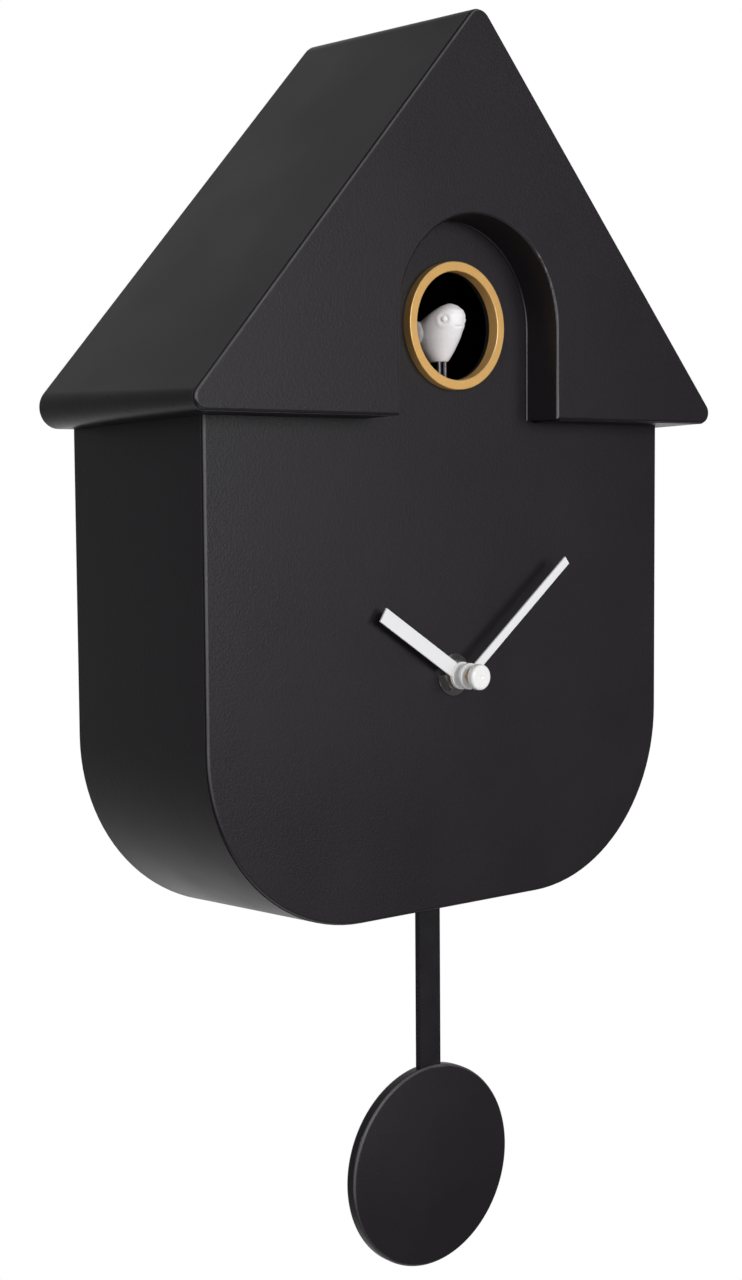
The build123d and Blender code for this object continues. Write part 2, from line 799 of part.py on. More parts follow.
def lying_cell(direction, depth, z):
    """Cell lying along X with its button towards direction."""
    can = Cylinder(cell_radius, cell_length)
    can = fillet(can.edges(), cell_edge_radius)
    button = Cylinder(cell_button_radius, cell_button_length)
    cell = can + Pos(0, 0, (cell_length + cell_button_length) / 2) * button
    return Pos(-direction * cell_button_length / 2, -depth, z) * Rot(0, 90 * direction, 0) * cell


def make_cuckoo_cells():
    return [lying_cell(direction, cell_depth, z) for z, direction in cell_places()]


def leaf_contact(x, direction, z, room):
    """Bowed strip that presses on a cell's end; direction is where the cell lies."""
    foot = x + direction * contact_thickness / 2
    plate = Pos(foot, -cell_depth, z) * Box(contact_thickness, contact_width, contact_width)
    bow = Pos(foot + direction * room / 2, -cell_depth, z) * Box(room, contact_width / 2, contact_thickness)
    tip_width = contact_width / 2
    tip = Pos(x + direction * room, -cell_depth, z) * Box(contact_thickness, tip_width, tip_width)
    return plate + bow + tip


def make_battery_contacts():
    reach = (cell_length + cell_button_length) / 2
    room = bay_width / 2 - reach - contact_thickness / 2 - contact_gap
    contacts = []
    for z, _ in cell_places():
        for side in (-1, 1):
            contacts.append(leaf_contact(side * bay_width / 2, -side, z, room))
    return contacts


# ---------------------------------------------------------------- loudspeaker and sound board

def make_speaker():
    """Basket with its cone in one solid, and the magnet behind it."""
    place = Pos(speaker_x, speaker_z)
    rim_top = cover_thickness + speaker_rim_depth
    basket = forward(place * Circle(speaker_radius), cover_thickness, speaker_rim_depth)
    outside = place * Circle(speaker_radius - speaker_rim / 2)
    basket += forward(outside, rim_top, cone_depth - speaker_rim_depth, basket_taper)
    inside = place * Circle(speaker_radius - speaker_rim)
    basket -= forward(inside, cover_thickness, cone_depth - cone_skin, cone_taper)
    magnet_start = cover_thickness + cone_depth
    magnet = forward(place * Circle(speaker_magnet_radius), magnet_start, speaker_depth - cone_depth)
    return basket, magnet


def make_sound_board():
    outline = Pos(board_x, board_z) * RectangleRounded(board_width, board_length, board_corner)
    board = forward(outline, board_depth, board_thickness)
    for x, z in board_corners():
        board -= hole_along_y(board_pin_radius + fit_gap, x, z, board_depth, board_thickness)
    return board


def make_sound_chip():
    """Drop of potting resin over the chip."""
    outline = Pos(board_x, board_z) * Circle(chip_radius)
    return forward(outline, board_depth + board_thickness, chip_height, chip_taper)


def make_switch_base():
    half = switch_travel / 2 + switch_body_margin
    x_range = around(board_x, half)
    z_range = around(switch_z, switch_body_height / 2)
    base = block(x_range, (board_depth - switch_body_depth, board_depth), z_range)
    slot_x = around(board_x, (switch_travel + switch_stem) / 2 + hole_gap)
    slot_z = around(switch_z, switch_stem / 2 + hole_gap)
    return base - block(slot_x, (cover_thickness, board_depth - switch_floor), slot_z)


def make_switch_knob():
    x = board_x - switch_travel / 2
    stem_depth = (switch_pad_inset, board_depth - switch_floor - hole_gap)
    stem = block(around(x, switch_stem / 2), stem_depth, around(switch_z, switch_stem / 2))
    pad_depth = (switch_pad_inset, cover_thickness - switch_pad_inset)
    pad = block(around(x, switch_pad_width / 2), pad_depth, around(switch_z, switch_pad_height / 2))
    return stem + pad


def make_volume_base():
    """Bracket on the board with the pin that the thumb wheel turns on."""
    under = volume_z - volume_thickness / 2 - panel_gap
    top = volume_z + volume_thickness / 2 + volume_pin_tip
    arm_depth = (volume_depth - volume_arm_width / 2, board_depth)
    arm = block(around(board_x, volume_arm_width / 2), arm_depth, (under - volume_arm_thickness, under))
    pin = Pos(board_x, -volume_depth, (under + top) / 2) * Cylinder(volume_pin_radius, top - under)
    foot_depth = (board_depth - volume_foot_thickness, board_depth)
    foot = block(around(board_x, volume_foot_width / 2), foot_depth, (under - volume_foot_height, under))
    return arm + pin + foot


def make_volume_wheel():
    outline = fluted_circle(volume_radius, volume_flute_radius) - Circle(volume_pin_radius + fit_gap)
    base = Plane.XY.offset(volume_z - volume_thickness / 2) * Pos(board_x, -volume_depth)
    return extrude(base * outline, volume_thickness)


# ---------------------------------------------------------------- quartz movement

def case_outline(inset):
    size = case_size - 2 * inset
    return Pos(0, arbor_z) * RectangleRounded(size, size, max(case_corner_radius - inset, least_radius))


def case_shelf(start, end):
    """Wall above the cell, from one depth to another."""
    base = cell_bay_z + cell_radius + shelf_gap
    half = case_size / 2 - case_wall
    return block((-half, half), (start, end), (base, base + shelf_thickness))


def make_movement_front_case():
    case = forward(case_outline(0), case_split, panel_back - case_split)
    case -= forward(case_outline(case_wall), case_split, case_front_wall - case_split)
    case -= hole_along_y(bush_radius - bush_wall, 0, arbor_z, case_front_wall, case_wall)
    seat_length = case_wall - bearing_floor + cut_past
    case -= rod_along_y(motion_arbor_radius + fit_gap, 0, motion_z, case_front_wall - cut_past, seat_length)
    return case + case_shelf(case_split, case_front_wall)


def rear_bearings():
    """Bearings in the rear half: arbor radius, place, and whether the hole goes right through."""
    return [(motion_arbor_radius, 0, motion_z, False), (minute_arbor_radius, 0, arbor_z, False),
            (setting_arbor_radius, setting_x, setting_z, True)]


def make_movement_rear_case():
    inner_back = case_back + case_wall
    case = forward(case_outline(0), case_back, case_split - case_back)
    case -= forward(case_outline(case_wall), inner_back, case_split - case_back)
    for radius, x, z, open_behind in rear_bearings():
        case += rod_along_y(radius + bearing_wall, x, z, inner_back, bearing_rise)
        start = case_back - cut_past if open_behind else case_back + bearing_floor
        case -= rod_along_y(radius + fit_gap, x, z, start, inner_back + bearing_rise + cut_past - start)
    half = cell_length / 2 + cell_bay_margin
    bay_depth = (case_back - cut_past, inner_back + fit_gap)
    case -= block((-half, half), bay_depth, around(cell_bay_z, cell_radius))
    return case + case_shelf(inner_back, case_split)


def make_movement_cell():
    return lying_cell(1, case_front_wall - shelf_gap - cell_radius, cell_bay_z)


def make_stepper():
    """Stator plates with the coil between them, and the electronics board in front."""
    inner_back = case_back + case_wall
    left = -case_size / 2 + case_wall + stator_margin
    right = left + stator_width
    top = arbor_z + case_size / 2 - case_wall - stator_drop
    low = top - stator_height
    plate = (inner_back, inner_back + stator_thickness)
    stator = block((left, right), plate, (low, low + stator_leg))
    stator += block((left, left + stator_leg), plate, (low, top))
    stator += block((right - stator_leg, right), plate, (low, top))
    core_z = top - stator_leg
    stator += block((left, right), plate, around(core_z, stepper_core_width / 2))
    coil_start = left + (stator_width - stepper_coil_length) / 2
    coil_depth = inner_back + stator_thickness + stepper_coil_radius
    coil = rod_along_x(stepper_coil_radius, coil_depth, core_z, coil_start, stepper_coil_length)
    board_start = inner_back + stator_thickness + board_over_stator
    board = block((left, right + stator_margin), (board_start, board_start + stator_thickness), (low, top))
    return stator, coil, board


def make_shaft_bush():
    bush = rod_along_y(bush_radius, 0, arbor_z, panel_back, plate_thickness + bush_reach)
    bush = chamfer(front_edge(bush), bush_chamfer)
    return bush - hole_along_y(bush_radius - bush_wall, 0, arbor_z, panel_back, plate_thickness + bush_reach)


def make_dial_washer():
    ring = rod_along_y(dial_washer_radius, 0, arbor_z, body_depth, dial_washer_thickness)
    return ring - hole_along_y(bush_radius + fit_gap, 0, arbor_z, body_depth, dial_washer_thickness)


def make_dial_nut():
    """Hexagon nut with its front corners turned off."""
    depth = body_depth + dial_washer_thickness
    nut = forward(Pos(0, arbor_z) * hexagon(dial_nut_across_flats), depth, dial_nut_thickness)
    turned = rod_along_y(dial_nut_across_flats / sqrt(3), 0, arbor_z, depth, dial_nut_thickness)
    turned = chamfer(front_edge(turned), dial_nut_chamfer, dial_nut_chamfer / 2)
    return (nut & turned) - hole_along_y(bush_radius + fit_gap, 0, arbor_z, depth, dial_nut_thickness)


def make_hour_wheel():
    """Hour wheel with the tube that carries the hour hand."""
    turn = 90 + 180 / hour_wheel_teeth
    wheel = wheel_along_y(hour_wheel_teeth, hour_module, 0, arbor_z, front_level, turn)
    length = hour_hand_depth + hub_thickness - front_level
    wheel += rod_along_y(hour_tube_radius, 0, arbor_z, front_level, length)
    return wheel - hole_along_y(minute_arbor_radius + fit_gap, 0, arbor_z, front_level, length)


def make_minute_arbor():
    """Minute arbor with the cannon pinion that drives the motion wheel."""
    start = case_back + bearing_floor + end_play
    arbor = rod_along_y(minute_arbor_radius, 0, arbor_z, start, minute_arbor_end - start)
    turn = 90 + 180 / cannon_teeth
    return arbor + wheel_along_y(cannon_teeth, cannon_module, 0, arbor_z, rear_level, turn)


def make_motion_wheel():
    """Motion wheel and its pinion, turning on one arbor."""
    start = case_back + bearing_floor + end_play
    end = panel_back - bearing_floor - end_play
    wheel = rod_along_y(motion_arbor_radius, 0, motion_z, start, end - start)
    wheel += wheel_along_y(motion_wheel_teeth, cannon_module, 0, motion_z, rear_level, -90)
    start = rear_level + wheel_thickness
    width = front_level + wheel_thickness - start
    return wheel + wheel_along_y(motion_pinion_teeth, hour_module, 0, motion_z, start, -90, width)


def setting_phase():
    """Turn that brings a gap of the setting pinion onto the motion wheel's tooth."""
    past_tooth = (setting_angle + 90) % (360 / motion_wheel_teeth)
    return 180 / setting_teeth - past_tooth * motion_wheel_teeth / setting_teeth


def make_setting_knob():
    """Setting pinion, its arbor and the fluted knob behind the case, in one piece."""
    knob_front = case_back - setting_knob_gap
    arbor_length = rear_level + wheel_thickness - knob_front
    arbor = rod_along_y(setting_arbor_radius, setting_x, setting_z, knob_front, arbor_length)
    turn = setting_angle + 180 + setting_phase()
    arbor += wheel_along_y(setting_teeth, cannon_module, setting_x, setting_z, rear_level, turn)
    outline = Pos(setting_x, setting_z) * fluted_circle(setting_knob_radius, knob_flute_radius)
    return arbor + forward(outline, knob_front - setting_knob_thickness, setting_knob_thickness)


# ---------------------------------------------------------------- hands

def hand_turn(turns):
    """Rotation for a hand drawn along +X that is turns of a full turn past twelve."""
    return Rot(0, 0, 90 - 360 * turns)


def baton(length, width):
    """Straight outline with a square tip, pointing along +X."""
    return Pos(length / 2, 0) * Rectangle(length, width)


def make_hand(outline, hub_radius, depth, bore, turns):
    hand = forward(Pos(0, arbor_z) * hand_turn(turns) * outline, depth, hand_thickness)
    hub = rod_along_y(hub_radius, 0, arbor_z, depth, hub_thickness)
    hub = fillet(front_edge(hub), hub_edge_radius)
    return hand + hub - hole_along_y(bore + fit_gap, 0, arbor_z, depth, hub_thickness)


def make_hour_hand():
    hours, minutes = shown_time
    outline = baton(hour_hand_length, hour_hand_width)
    turns = (hours + minutes / 60) / 12 - hour_hand_lag / 360
    return make_hand(outline, hour_hub_radius, hour_hand_depth, hour_tube_radius, turns)


def make_minute_hand():
    outline = baton(minute_hand_length, minute_hand_width)
    turns = shown_time[1] / 60
    return make_hand(outline, minute_hub_radius, minute_hand_depth, minute_arbor_radius, turns)


def make_minute_nut():
    depth = minute_hand_depth + hub_thickness
    nut = forward(Pos(0, arbor_z) * hexagon(minute_nut_across_flats), depth, minute_nut_thickness)
    return nut - hole_along_y(minute_arbor_radius + fit_gap, 0, arbor_z, depth, minute_nut_thickness)


def make_centre_cap():
    """Round cap on a short stem, seated on the end of the minute arbor."""
    stem = rod_along_y(cap_stem_radius, 0, arbor_z, minute_arbor_end, cap_stem_length + cap_thickness)
    disc = rod_along_y(cap_radius, 0, arbor_z, cap_front - cap_thickness, cap_thickness)
    disc = fillet(front_edge(disc), cap_edge_radius)
    lift = cap_dimple_radius - cap_dimple_depth
    return stem + disc - Pos(0, -cap_front - lift, arbor_z) * Sphere(cap_dimple_radius)


# ---------------------------------------------------------------- pendulum

def make_pendulum_disc():
    z = height(-pendulum_disc_drop)
    back = pendulum_front - pendulum_disc_thickness
    disc = rod_along_y(pendulum_disc_radius, 0, z, back, pendulum_disc_thickness)
    disc = fillet(disc.edges(), pendulum_disc_edge)
    slot_half = rod_width / 2 + fit_gap
    slot_depth = (back - cut_past, pendulum_front - disc_skin)
    return disc - block((-slot_half, slot_half), slot_depth, (z, z + pendulum_disc_radius + cut_past))


def make_pendulum_rod():
    back = hanger_front
    z_range = (height(-pendulum_disc_drop), height(rod_top_height))
    rod = block((-rod_width / 2, rod_width / 2), (back, back + rod_thickness), z_range)
    rod = fillet(rod.edges().filter_by(Axis.Y), rod_corner_radius)
    return rod - hole_along_y(hook_radius + fit_gap, 0, hook_z, back, rod_thickness)


def make_pendulum_hanger():
    """Swinging lever with the headed hook that carries the rod."""
    z_range = (height(hanger_foot_height), pivot_z + hanger_width / 2)
    lever = block((-hanger_width / 2, hanger_width / 2), (hanger_back, hanger_front), z_range)
    lever = fillet(lever.edges().filter_by(Axis.Y), hanger_end_radius)
    neck = rod_thickness + hook_neck
    lever += rod_along_y(hook_radius, 0, hook_z, hanger_front, neck)
    lever += rod_along_y(hook_radius + head_margin, 0, hook_z, hanger_front + neck, head_thickness)
    return lever - hole_along_y(pivot_radius + fit_gap, 0, pivot_z, hanger_back, hanger_thickness)


def make_pendulum_magnet():
    return rod_along_y(magnet_radius, 0, magnet_z, hanger_back - magnet_thickness, magnet_thickness)


def make_pendulum_drive():
    """Closed coil case on two posts, the pivot pin that it carries and its coil."""
    top = pivot_z + drive_rise
    low = top - drive_height
    back = drive_front - drive_depth
    case = block((-drive_width / 2, drive_width / 2), (back, drive_front), (low, top))
    case = fillet(case.edges().filter_by(Axis.Y), drive_corner_radius)
    swing_room = hanger_width / 2 + pivot_height * tan(radians(swing_limit)) + 2 * magnet_gap
    recess = magnet_thickness + magnet_gap
    recess_top = magnet_z + magnet_radius + 2 * magnet_gap
    recess_depth = (drive_front - recess, drive_front + cut_past)
    case -= block((-swing_room, swing_room), recess_depth, (low - cut_past, recess_top))
    case -= rod_along_y(pivot_radius, 0, pivot_z, drive_front - pin_seat, pin_seat + cut_past)
    coil_length = drive_depth - 2 * drive_wall - recess
    coil = rod_along_y(drive_coil_radius, 0, magnet_z, back + drive_wall, coil_length)
    case -= rod_along_y(drive_coil_radius + fit_gap, 0, magnet_z, back + drive_wall, coil_length)
    neck = panel_gap + hanger_thickness + hook_neck
    pin = rod_along_y(pivot_radius, 0, pivot_z, drive_front - pin_seat, pin_seat + neck)
    pin += rod_along_y(pivot_radius + head_margin, 0, pivot_z, drive_front + neck, head_thickness)
    return case, pin, coil


# ---------------------------------------------------------------- bird and its drive

def bird_place(side, ahead, level):
    """Place on the bird, from its shares of the bird's height."""
    return Pos(side * bird_height, -bird_pin_depth - ahead * bird_height, bird_foot_z + level * bird_height)


def bird_section(level, ahead, half_width, half_length):
    """Level ellipse through the bird."""
    plane = Plane.XY.offset(bird_foot_z + level * bird_height)
    outline = Ellipse(half_width * bird_height, half_length * bird_height)
    return plane * Pos(0, -bird_pin_depth - ahead * bird_height) * outline


def bird_lobe(shape):
    """Ellipsoid, from its half sizes as shares of the bird's height."""
    return scale(Sphere(1), tuple(share * bird_height for share in shape))


def bird_pin_places():
    return (-bird_pin_spacing / 2, bird_pin_spacing / 2)


def make_bird():
    """Small standing bird facing forward: drafted belly, full back, round head."""
    bird = loft([bird_section(*section) for section in bird_sections])
    for side in (-1, 1):
        eye_side, ahead, level, radius = bird_eye
        bird += bird_place(side * eye_side, ahead, level) * Sphere(radius * bird_height)
        wing_side, ahead, level = bird_wing
        place = bird_place(side * wing_side, ahead, level) * Rot(0, 0, side * wing_splay)
        bird += place * bird_lobe(bird_wing_shape)
    bird += bird_place(*bird_tail) * Rot(tail_lift, 0, 0) * bird_lobe(bird_tail_shape)
    bird += bird_place(*bird_beak[:3]) * Sphere(bird_beak[3] * bird_height)
    for x in bird_pin_places():
        pin_hole = Cylinder(bird_pin_radius + fit_gap, bird_sink)
        bird -= Pos(x, -bird_pin_depth, bird_foot_z + bird_sink / 2) * pin_hole
    return bird


def make_bird_pins():
    foot = carriage_top - bird_sink
    top = bird_foot_z + bird_sink
    pin = Cylinder(bird_pin_radius, top - foot)
    return [Pos(x, -bird_pin_depth, (foot + top) / 2) * pin for x in bird_pin_places()]


def rack_tooth(middle_y):
    """One tooth of the rack under the slide."""
    half = (pi * rack_module / 2 - rack_play) / 2
    foot = half * tooth_root_share
    tip = half * tooth_tip_share
    tip_z = rack_pitch_z - tooth_tip_height * rack_module
    outline = Polygon((middle_y - foot, rack_base_z), (middle_y - tip, tip_z),
                      (middle_y + tip, tip_z), (middle_y + foot, rack_base_z), align=None)
    return extrude(Plane.YZ.offset(-rack_width / 2) * outline, rack_width)


def make_bird_carriage():
    """Slide with side flanges and a rack below, bored for the two pins."""
    depth_range = (carriage_back, carriage_front)
    slide = block((-carriage_half_width, carriage_half_width), depth_range, (rack_base_z, carriage_top))
    flange_z = around(carriage_top - carriage_height / 2, carriage_flange_thickness / 2)
    slide += block((-carriage_flange_half_width, carriage_flange_half_width), depth_range, flange_z)
    for x in bird_pin_places():
        pin_hole = Cylinder(bird_pin_radius + fit_gap, bird_sink)
        slide -= Pos(x, -bird_pin_depth, carriage_top - bird_sink / 2) * pin_hole
    step = pi * rack_module
    for number in range(rack_teeth):
        slide += rack_tooth(-(drive_gear_depth + step * (number - 0.5)))
    return slide


def make_drive_gear():
    """Rack pinion and reduction gear on one shaft."""
    shaft_start = -rail_outside - drive_shaft_tip
    shaft_length = gear_x + gear_width - shaft_start
    gear = rod_along_x(drive_shaft_radius, drive_gear_depth, drive_gear_z, shaft_start, shaft_length)
    width = rack_width - gear_side_gap
    gear += wheel_along_x(rack_pinion_teeth, rack_module, drive_gear_depth, -width / 2, 90, width)
    return gear + wheel_along_x(reduction_teeth, reduction_module, drive_gear_depth, gear_x, 0)


def make_motor_shaft():
    """Motor shaft with its small pinion."""
    start = gear_x - gear_side_gap / 2
    end = motor_x + motor_shaft_seat
    shaft = rod_along_x(motor_shaft_radius, motor_depth, drive_gear_z, start, end - start)
    turn = 180 + 180 / motor_pinion_teeth
    return shaft + wheel_along_x(motor_pinion_teeth, reduction_module, motor_depth, gear_x, turn)


def make_motor():
    can = rod_along_x(motor_radius, motor_depth, drive_gear_z, motor_x, motor_length)
    can = fillet(can.edges(), motor_edge_radius)
    hole_radius = motor_shaft_radius + fit_gap
    hole_length = motor_shaft_seat + 2 * cut_past
    return can - rod_along_x(hole_radius, motor_depth, drive_gear_z, motor_x - cut_past, hole_length)


def make_cuckoo_frame():
    """Two grooved rails on a floor that also cradles the motor, with a flange at the dial panel."""
    inner = carriage_half_width + slide_gap
    top = carriage_top + rail_rise
    back = panel_back - rail_length
    under = floor_z - frame_floor
    frame = block((-rail_outside, rail_outside), (back, panel_back), (under, top))
    flange_depth = (panel_back - flange_thickness, panel_back)
    frame += block((-flange_half_width, flange_half_width), flange_depth, (floor_z, floor_z + flange_height))
    flange_back = panel_back - flange_thickness
    frame -= block((-inner, inner), (back - cut_past, flange_back), (floor_z, top + cut_past))
    frame -= block((-inner, inner), (back, panel_back + cut_past), (floor_z + flange_height, top + cut_past))
    wide = carriage_flange_half_width + slide_gap
    groove_z = around(carriage_top - carriage_height / 2, carriage_flange_thickness / 2 + slide_gap)
    frame -= block((-wide, wide), (back + groove_stop, panel_back + cut_past), groove_z)
    for x, z in frame_peg_places():
        frame -= hole_along_y(peg_radius + fit_gap, x, z, panel_back - flange_thickness, flange_thickness)
    reach = rail_outside + cut_past
    frame -= rod_along_x(drive_shaft_radius + fit_gap, drive_gear_depth, drive_gear_z, -reach, 2 * reach)
    return frame + make_motor_cradle(under)


def make_motor_cradle(under):
    """Shelf beside the rails with a half-round seat under the motor."""
    depth_range = around(motor_depth, motor_radius + cradle_wall)
    start = motor_x + gear_side_gap
    end = motor_x + motor_length - gear_side_gap
    shelf = block((0, end), depth_range, (under, floor_z))
    cradle = block((start, end), depth_range, (under, drive_gear_z - motor_shaft_radius))
    seat = rod_along_x(motor_radius + fit_gap, motor_depth, drive_gear_z, start - cut_past, motor_length)
    return shelf + (cradle - seat)


# ---------------------------------------------------------------- assembly

def collect_parts():
    parts["roof_shell"] = make_roof_shell()
    parts["roof_front_plate"] = make_roof_front_plate()
    parts["body_shell"] = make_body_shell()
    parts["dial_panel"] = make_dial_panel()
    parts["window_ring"] = make_window_ring()
    parts["back_cover"] = make_back_cover()
    parts["cover_screws"] = make_cover_screws()
    parts["battery_door"] = make_battery_door()
    parts["battery_box"] = make_battery_box()
    parts["cuckoo_cells"] = make_cuckoo_cells()
    parts["battery_contacts"] = make_battery_contacts()
    parts["speaker_cone"], parts["speaker_magnet"] = make_speaker()
    parts["sound_board"] = make_sound_board()
    parts["sound_chip"] = make_sound_chip()
    parts["switch_base"] = make_switch_base()
    parts["switch_knob"] = make_switch_knob()
    parts["volume_base"] = make_volume_base()
    parts["volume_wheel"] = make_volume_wheel()
    parts["movement_front_case"] = make_movement_front_case()
    parts["movement_rear_case"] = make_movement_rear_case()
    parts["movement_cell"] = make_movement_cell()
    parts["stepper_stator"], parts["stepper_coil"], parts["movement_board"] = make_stepper()
    parts["shaft_bush"] = make_shaft_bush()
    parts["dial_washer"] = make_dial_washer()
    parts["dial_nut"] = make_dial_nut()
    parts["hour_wheel"] = make_hour_wheel()
    parts["minute_arbor"] = make_minute_arbor()
    parts["motion_wheel"] = make_motion_wheel()
    parts["setting_knob"] = make_setting_knob()
    parts["hour_hand"] = make_hour_hand()
    parts["minute_hand"] = make_minute_hand()
    parts["minute_nut"] = make_minute_nut()
    parts["centre_cap"] = make_centre_cap()
    parts["pendulum_drive"], parts["pivot_pin"], parts["drive_coil"] = make_pendulum_drive()
    parts["pendulum_hanger"] = make_pendulum_hanger()
    parts["pendulum_magnet"] = make_pendulum_magnet()
    parts["pendulum_rod"] = make_pendulum_rod()
    parts["pendulum_disc"] = make_pendulum_disc()
    parts["bird"] = make_bird()
    parts["bird_pins"] = make_bird_pins()
    parts["bird_carriage"] = make_bird_carriage()
    parts["cuckoo_frame"] = make_cuckoo_frame()
    parts["drive_gear"] = make_drive_gear()
    parts["motor_shaft"] = make_motor_shaft()
    parts["motor"] = make_motor()


def write_parts():
    os.makedirs("parts", exist_ok=True)
    for name, shape in parts.items():
        if isinstance(shape, list):
            shape = Compound(children=[solid for piece in shape for solid in piece.solids()])
        export_step(shape, f"parts/{name}.step")


collect_parts()
write_parts()
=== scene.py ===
# %% [markdown]
# # Dressing a cuckoo clock
# The clock's shells, hands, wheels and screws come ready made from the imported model, each as its
# own part in its right place. This lesson gives them light, a camera and finishes, and models the
# one piece that asks for a sculptor's hand, the little bird. Everything is in metres.

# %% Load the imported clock
import bmesh
import bpy
import math
from mathutils import Matrix, Vector


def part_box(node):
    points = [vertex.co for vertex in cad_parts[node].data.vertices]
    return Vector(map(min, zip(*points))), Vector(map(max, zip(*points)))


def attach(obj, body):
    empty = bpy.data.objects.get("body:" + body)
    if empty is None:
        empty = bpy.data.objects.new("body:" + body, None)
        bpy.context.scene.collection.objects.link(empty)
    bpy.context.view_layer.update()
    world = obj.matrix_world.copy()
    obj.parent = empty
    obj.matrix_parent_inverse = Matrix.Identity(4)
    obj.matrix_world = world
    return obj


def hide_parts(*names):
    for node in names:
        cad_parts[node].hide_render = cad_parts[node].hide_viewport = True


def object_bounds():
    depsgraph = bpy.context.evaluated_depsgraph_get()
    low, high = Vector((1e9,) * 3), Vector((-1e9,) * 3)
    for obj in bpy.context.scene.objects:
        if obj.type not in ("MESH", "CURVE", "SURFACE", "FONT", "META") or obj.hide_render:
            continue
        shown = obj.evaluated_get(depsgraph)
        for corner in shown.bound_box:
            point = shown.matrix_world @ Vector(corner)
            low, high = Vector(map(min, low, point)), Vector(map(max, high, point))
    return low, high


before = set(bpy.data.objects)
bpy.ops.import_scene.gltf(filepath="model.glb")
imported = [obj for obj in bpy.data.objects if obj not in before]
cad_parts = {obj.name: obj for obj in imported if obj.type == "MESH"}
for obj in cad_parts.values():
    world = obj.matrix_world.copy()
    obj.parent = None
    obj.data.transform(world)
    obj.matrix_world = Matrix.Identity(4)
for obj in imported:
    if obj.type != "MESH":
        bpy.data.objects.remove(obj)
cad_box = [list(corner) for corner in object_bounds()]
clock_low, clock_high = (Vector(corner) for corner in cad_box)
scene = bpy.context.scene
scene.view_settings.view_transform = "Standard"
print("parts:", len(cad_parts), "box:", [round(side, 4) for side in clock_high - clock_low])

# %% [markdown]
# ## The camera
# The clock is looked at from well to the left and slightly above its middle, so that its depth
# shows. The camera could be aimed with a Track To constraint, but then its roll is fixed. Here it
# is turned by yaw, pitch and roll, and the three axes are written straight into its matrix.

# %% Place the camera
camera_place = Vector((-0.41342, -0.523859, -0.092904))
yaw, pitch, roll = 0.69226, -0.07552, -0.00716     # in radians
focal_length = 54.37            # in millimetres, as on a real lens
camera_data = bpy.data.cameras.new("camera")
camera_data.lens = focal_length
camera = bpy.data.objects.new("camera", camera_data)
scene.collection.objects.link(camera)

ahead = Vector((math.sin(yaw) * math.cos(pitch), math.cos(yaw) * math.cos(pitch), math.sin(pitch)))
level_right = Vector((math.cos(yaw), -math.sin(yaw), 0))
level_up = level_right.cross(ahead)
right = math.cos(roll) * level_right + math.sin(roll) * level_up
up = math.cos(roll) * level_up - math.sin(roll) * level_right
turn = Matrix((right, up, -ahead)).transposed().to_4x4()
camera.matrix_world = Matrix.Translation(camera_place) @ turn
scene.camera = camera
print("camera looks along", [round(part, 3) for part in ahead])

# %% [markdown]
# ## Tools for nodes
# Light and finishes are both drawn with nodes. A node needs its settings, and each input needs a
# plain value or a link from another node, so one helper does all three. The others stand for the
# nodes that come back most: arithmetic, the stretching of a range of values, and the kinds of ray.


# %% Node helpers
def add_node(tree, kind, feeds=None, **settings):
    """A new node with its own settings, and sockets or plain values fed to its inputs."""
    node = tree.nodes.new(kind)
    for name, value in settings.items():
        setattr(node, name, value)
    for name, value in (feeds or {}).items():
        if isinstance(value, bpy.types.NodeSocket):
            tree.links.new(value, node.inputs[name])
        else:
            node.inputs[name].default_value = value
    return node


def maths(tree, operation, *numbers):
    """One step of arithmetic on sockets or plain numbers."""
    return add_node(tree, "ShaderNodeMath", dict(enumerate(numbers)), operation=operation).outputs[0]


def map_range(tree, value, given, wanted, **settings):
    """Stretches a value from the given range over the wanted one."""
    return add_node(tree, "ShaderNodeMapRange", {
        "Value": value, "From Min": given[0], "From Max": given[1],
        "To Min": wanted[0], "To Max": wanted[1]}, **settings).outputs[0]


def ray_kinds(tree):
    """Two values: 1 for rays that come from the camera, and 1 for mirrored or refracted ones."""
    path = add_node(tree, "ShaderNodeLightPath").outputs
    return path["Is Camera Ray"], maths(tree, "MAXIMUM", path["Is Glossy Ray"], path["Is Transmission Ray"])


print("node helpers ready")

# %% [markdown]
# ## Light from all round
# A product is shown in a light tent: soft light everywhere, a white sheet behind it, and a dimmer
# room beyond, which is what gives dark, glossy things their depth. The world does this job. The
# Light Path node tells the camera's rays apart, and they see plain white. Mirrored rays see white
# too where the sheet hangs, behind the clock, and fade to the room's level away from it.

# %% Make the world
tent_level = 0.33
room_level = 0.075
sheet_middle = Vector((0.4, 0.9, -0.08)).normalized()
sheet_edge, sheet_inside = math.cos(math.radians(60)), math.cos(math.radians(16))
world = bpy.data.worlds.new("studio")
scene.world = world
world.use_nodes = True
tree = world.node_tree
tree.nodes.clear()
camera_ray, mirror_ray = ray_kinds(tree)
facing = add_node(tree, "ShaderNodeTexCoord").outputs["Generated"]
towards_sheet = add_node(
    tree, "ShaderNodeVectorMath", {0: facing, 1: sheet_middle}, operation="DOT_PRODUCT").outputs["Value"]
mirrored = map_range(tree, towards_sheet, (sheet_edge, sheet_inside), (room_level, 1.0),
                     interpolation_type="SMOOTHSTEP")
lit = add_node(tree, "ShaderNodeMix", {0: mirror_ray, 2: tent_level, 3: mirrored}).outputs[0]
shown = add_node(tree, "ShaderNodeMix", {0: camera_ray, 2: lit, 3: 1.0}).outputs[0]
light = add_node(tree, "ShaderNodeBackground", {"Color": (1, 1, 1, 1), "Strength": shown})
add_node(tree, "ShaderNodeOutputWorld", {"Surface": light.outputs[0]})
print("tent level:", tent_level, "room level:", room_level)

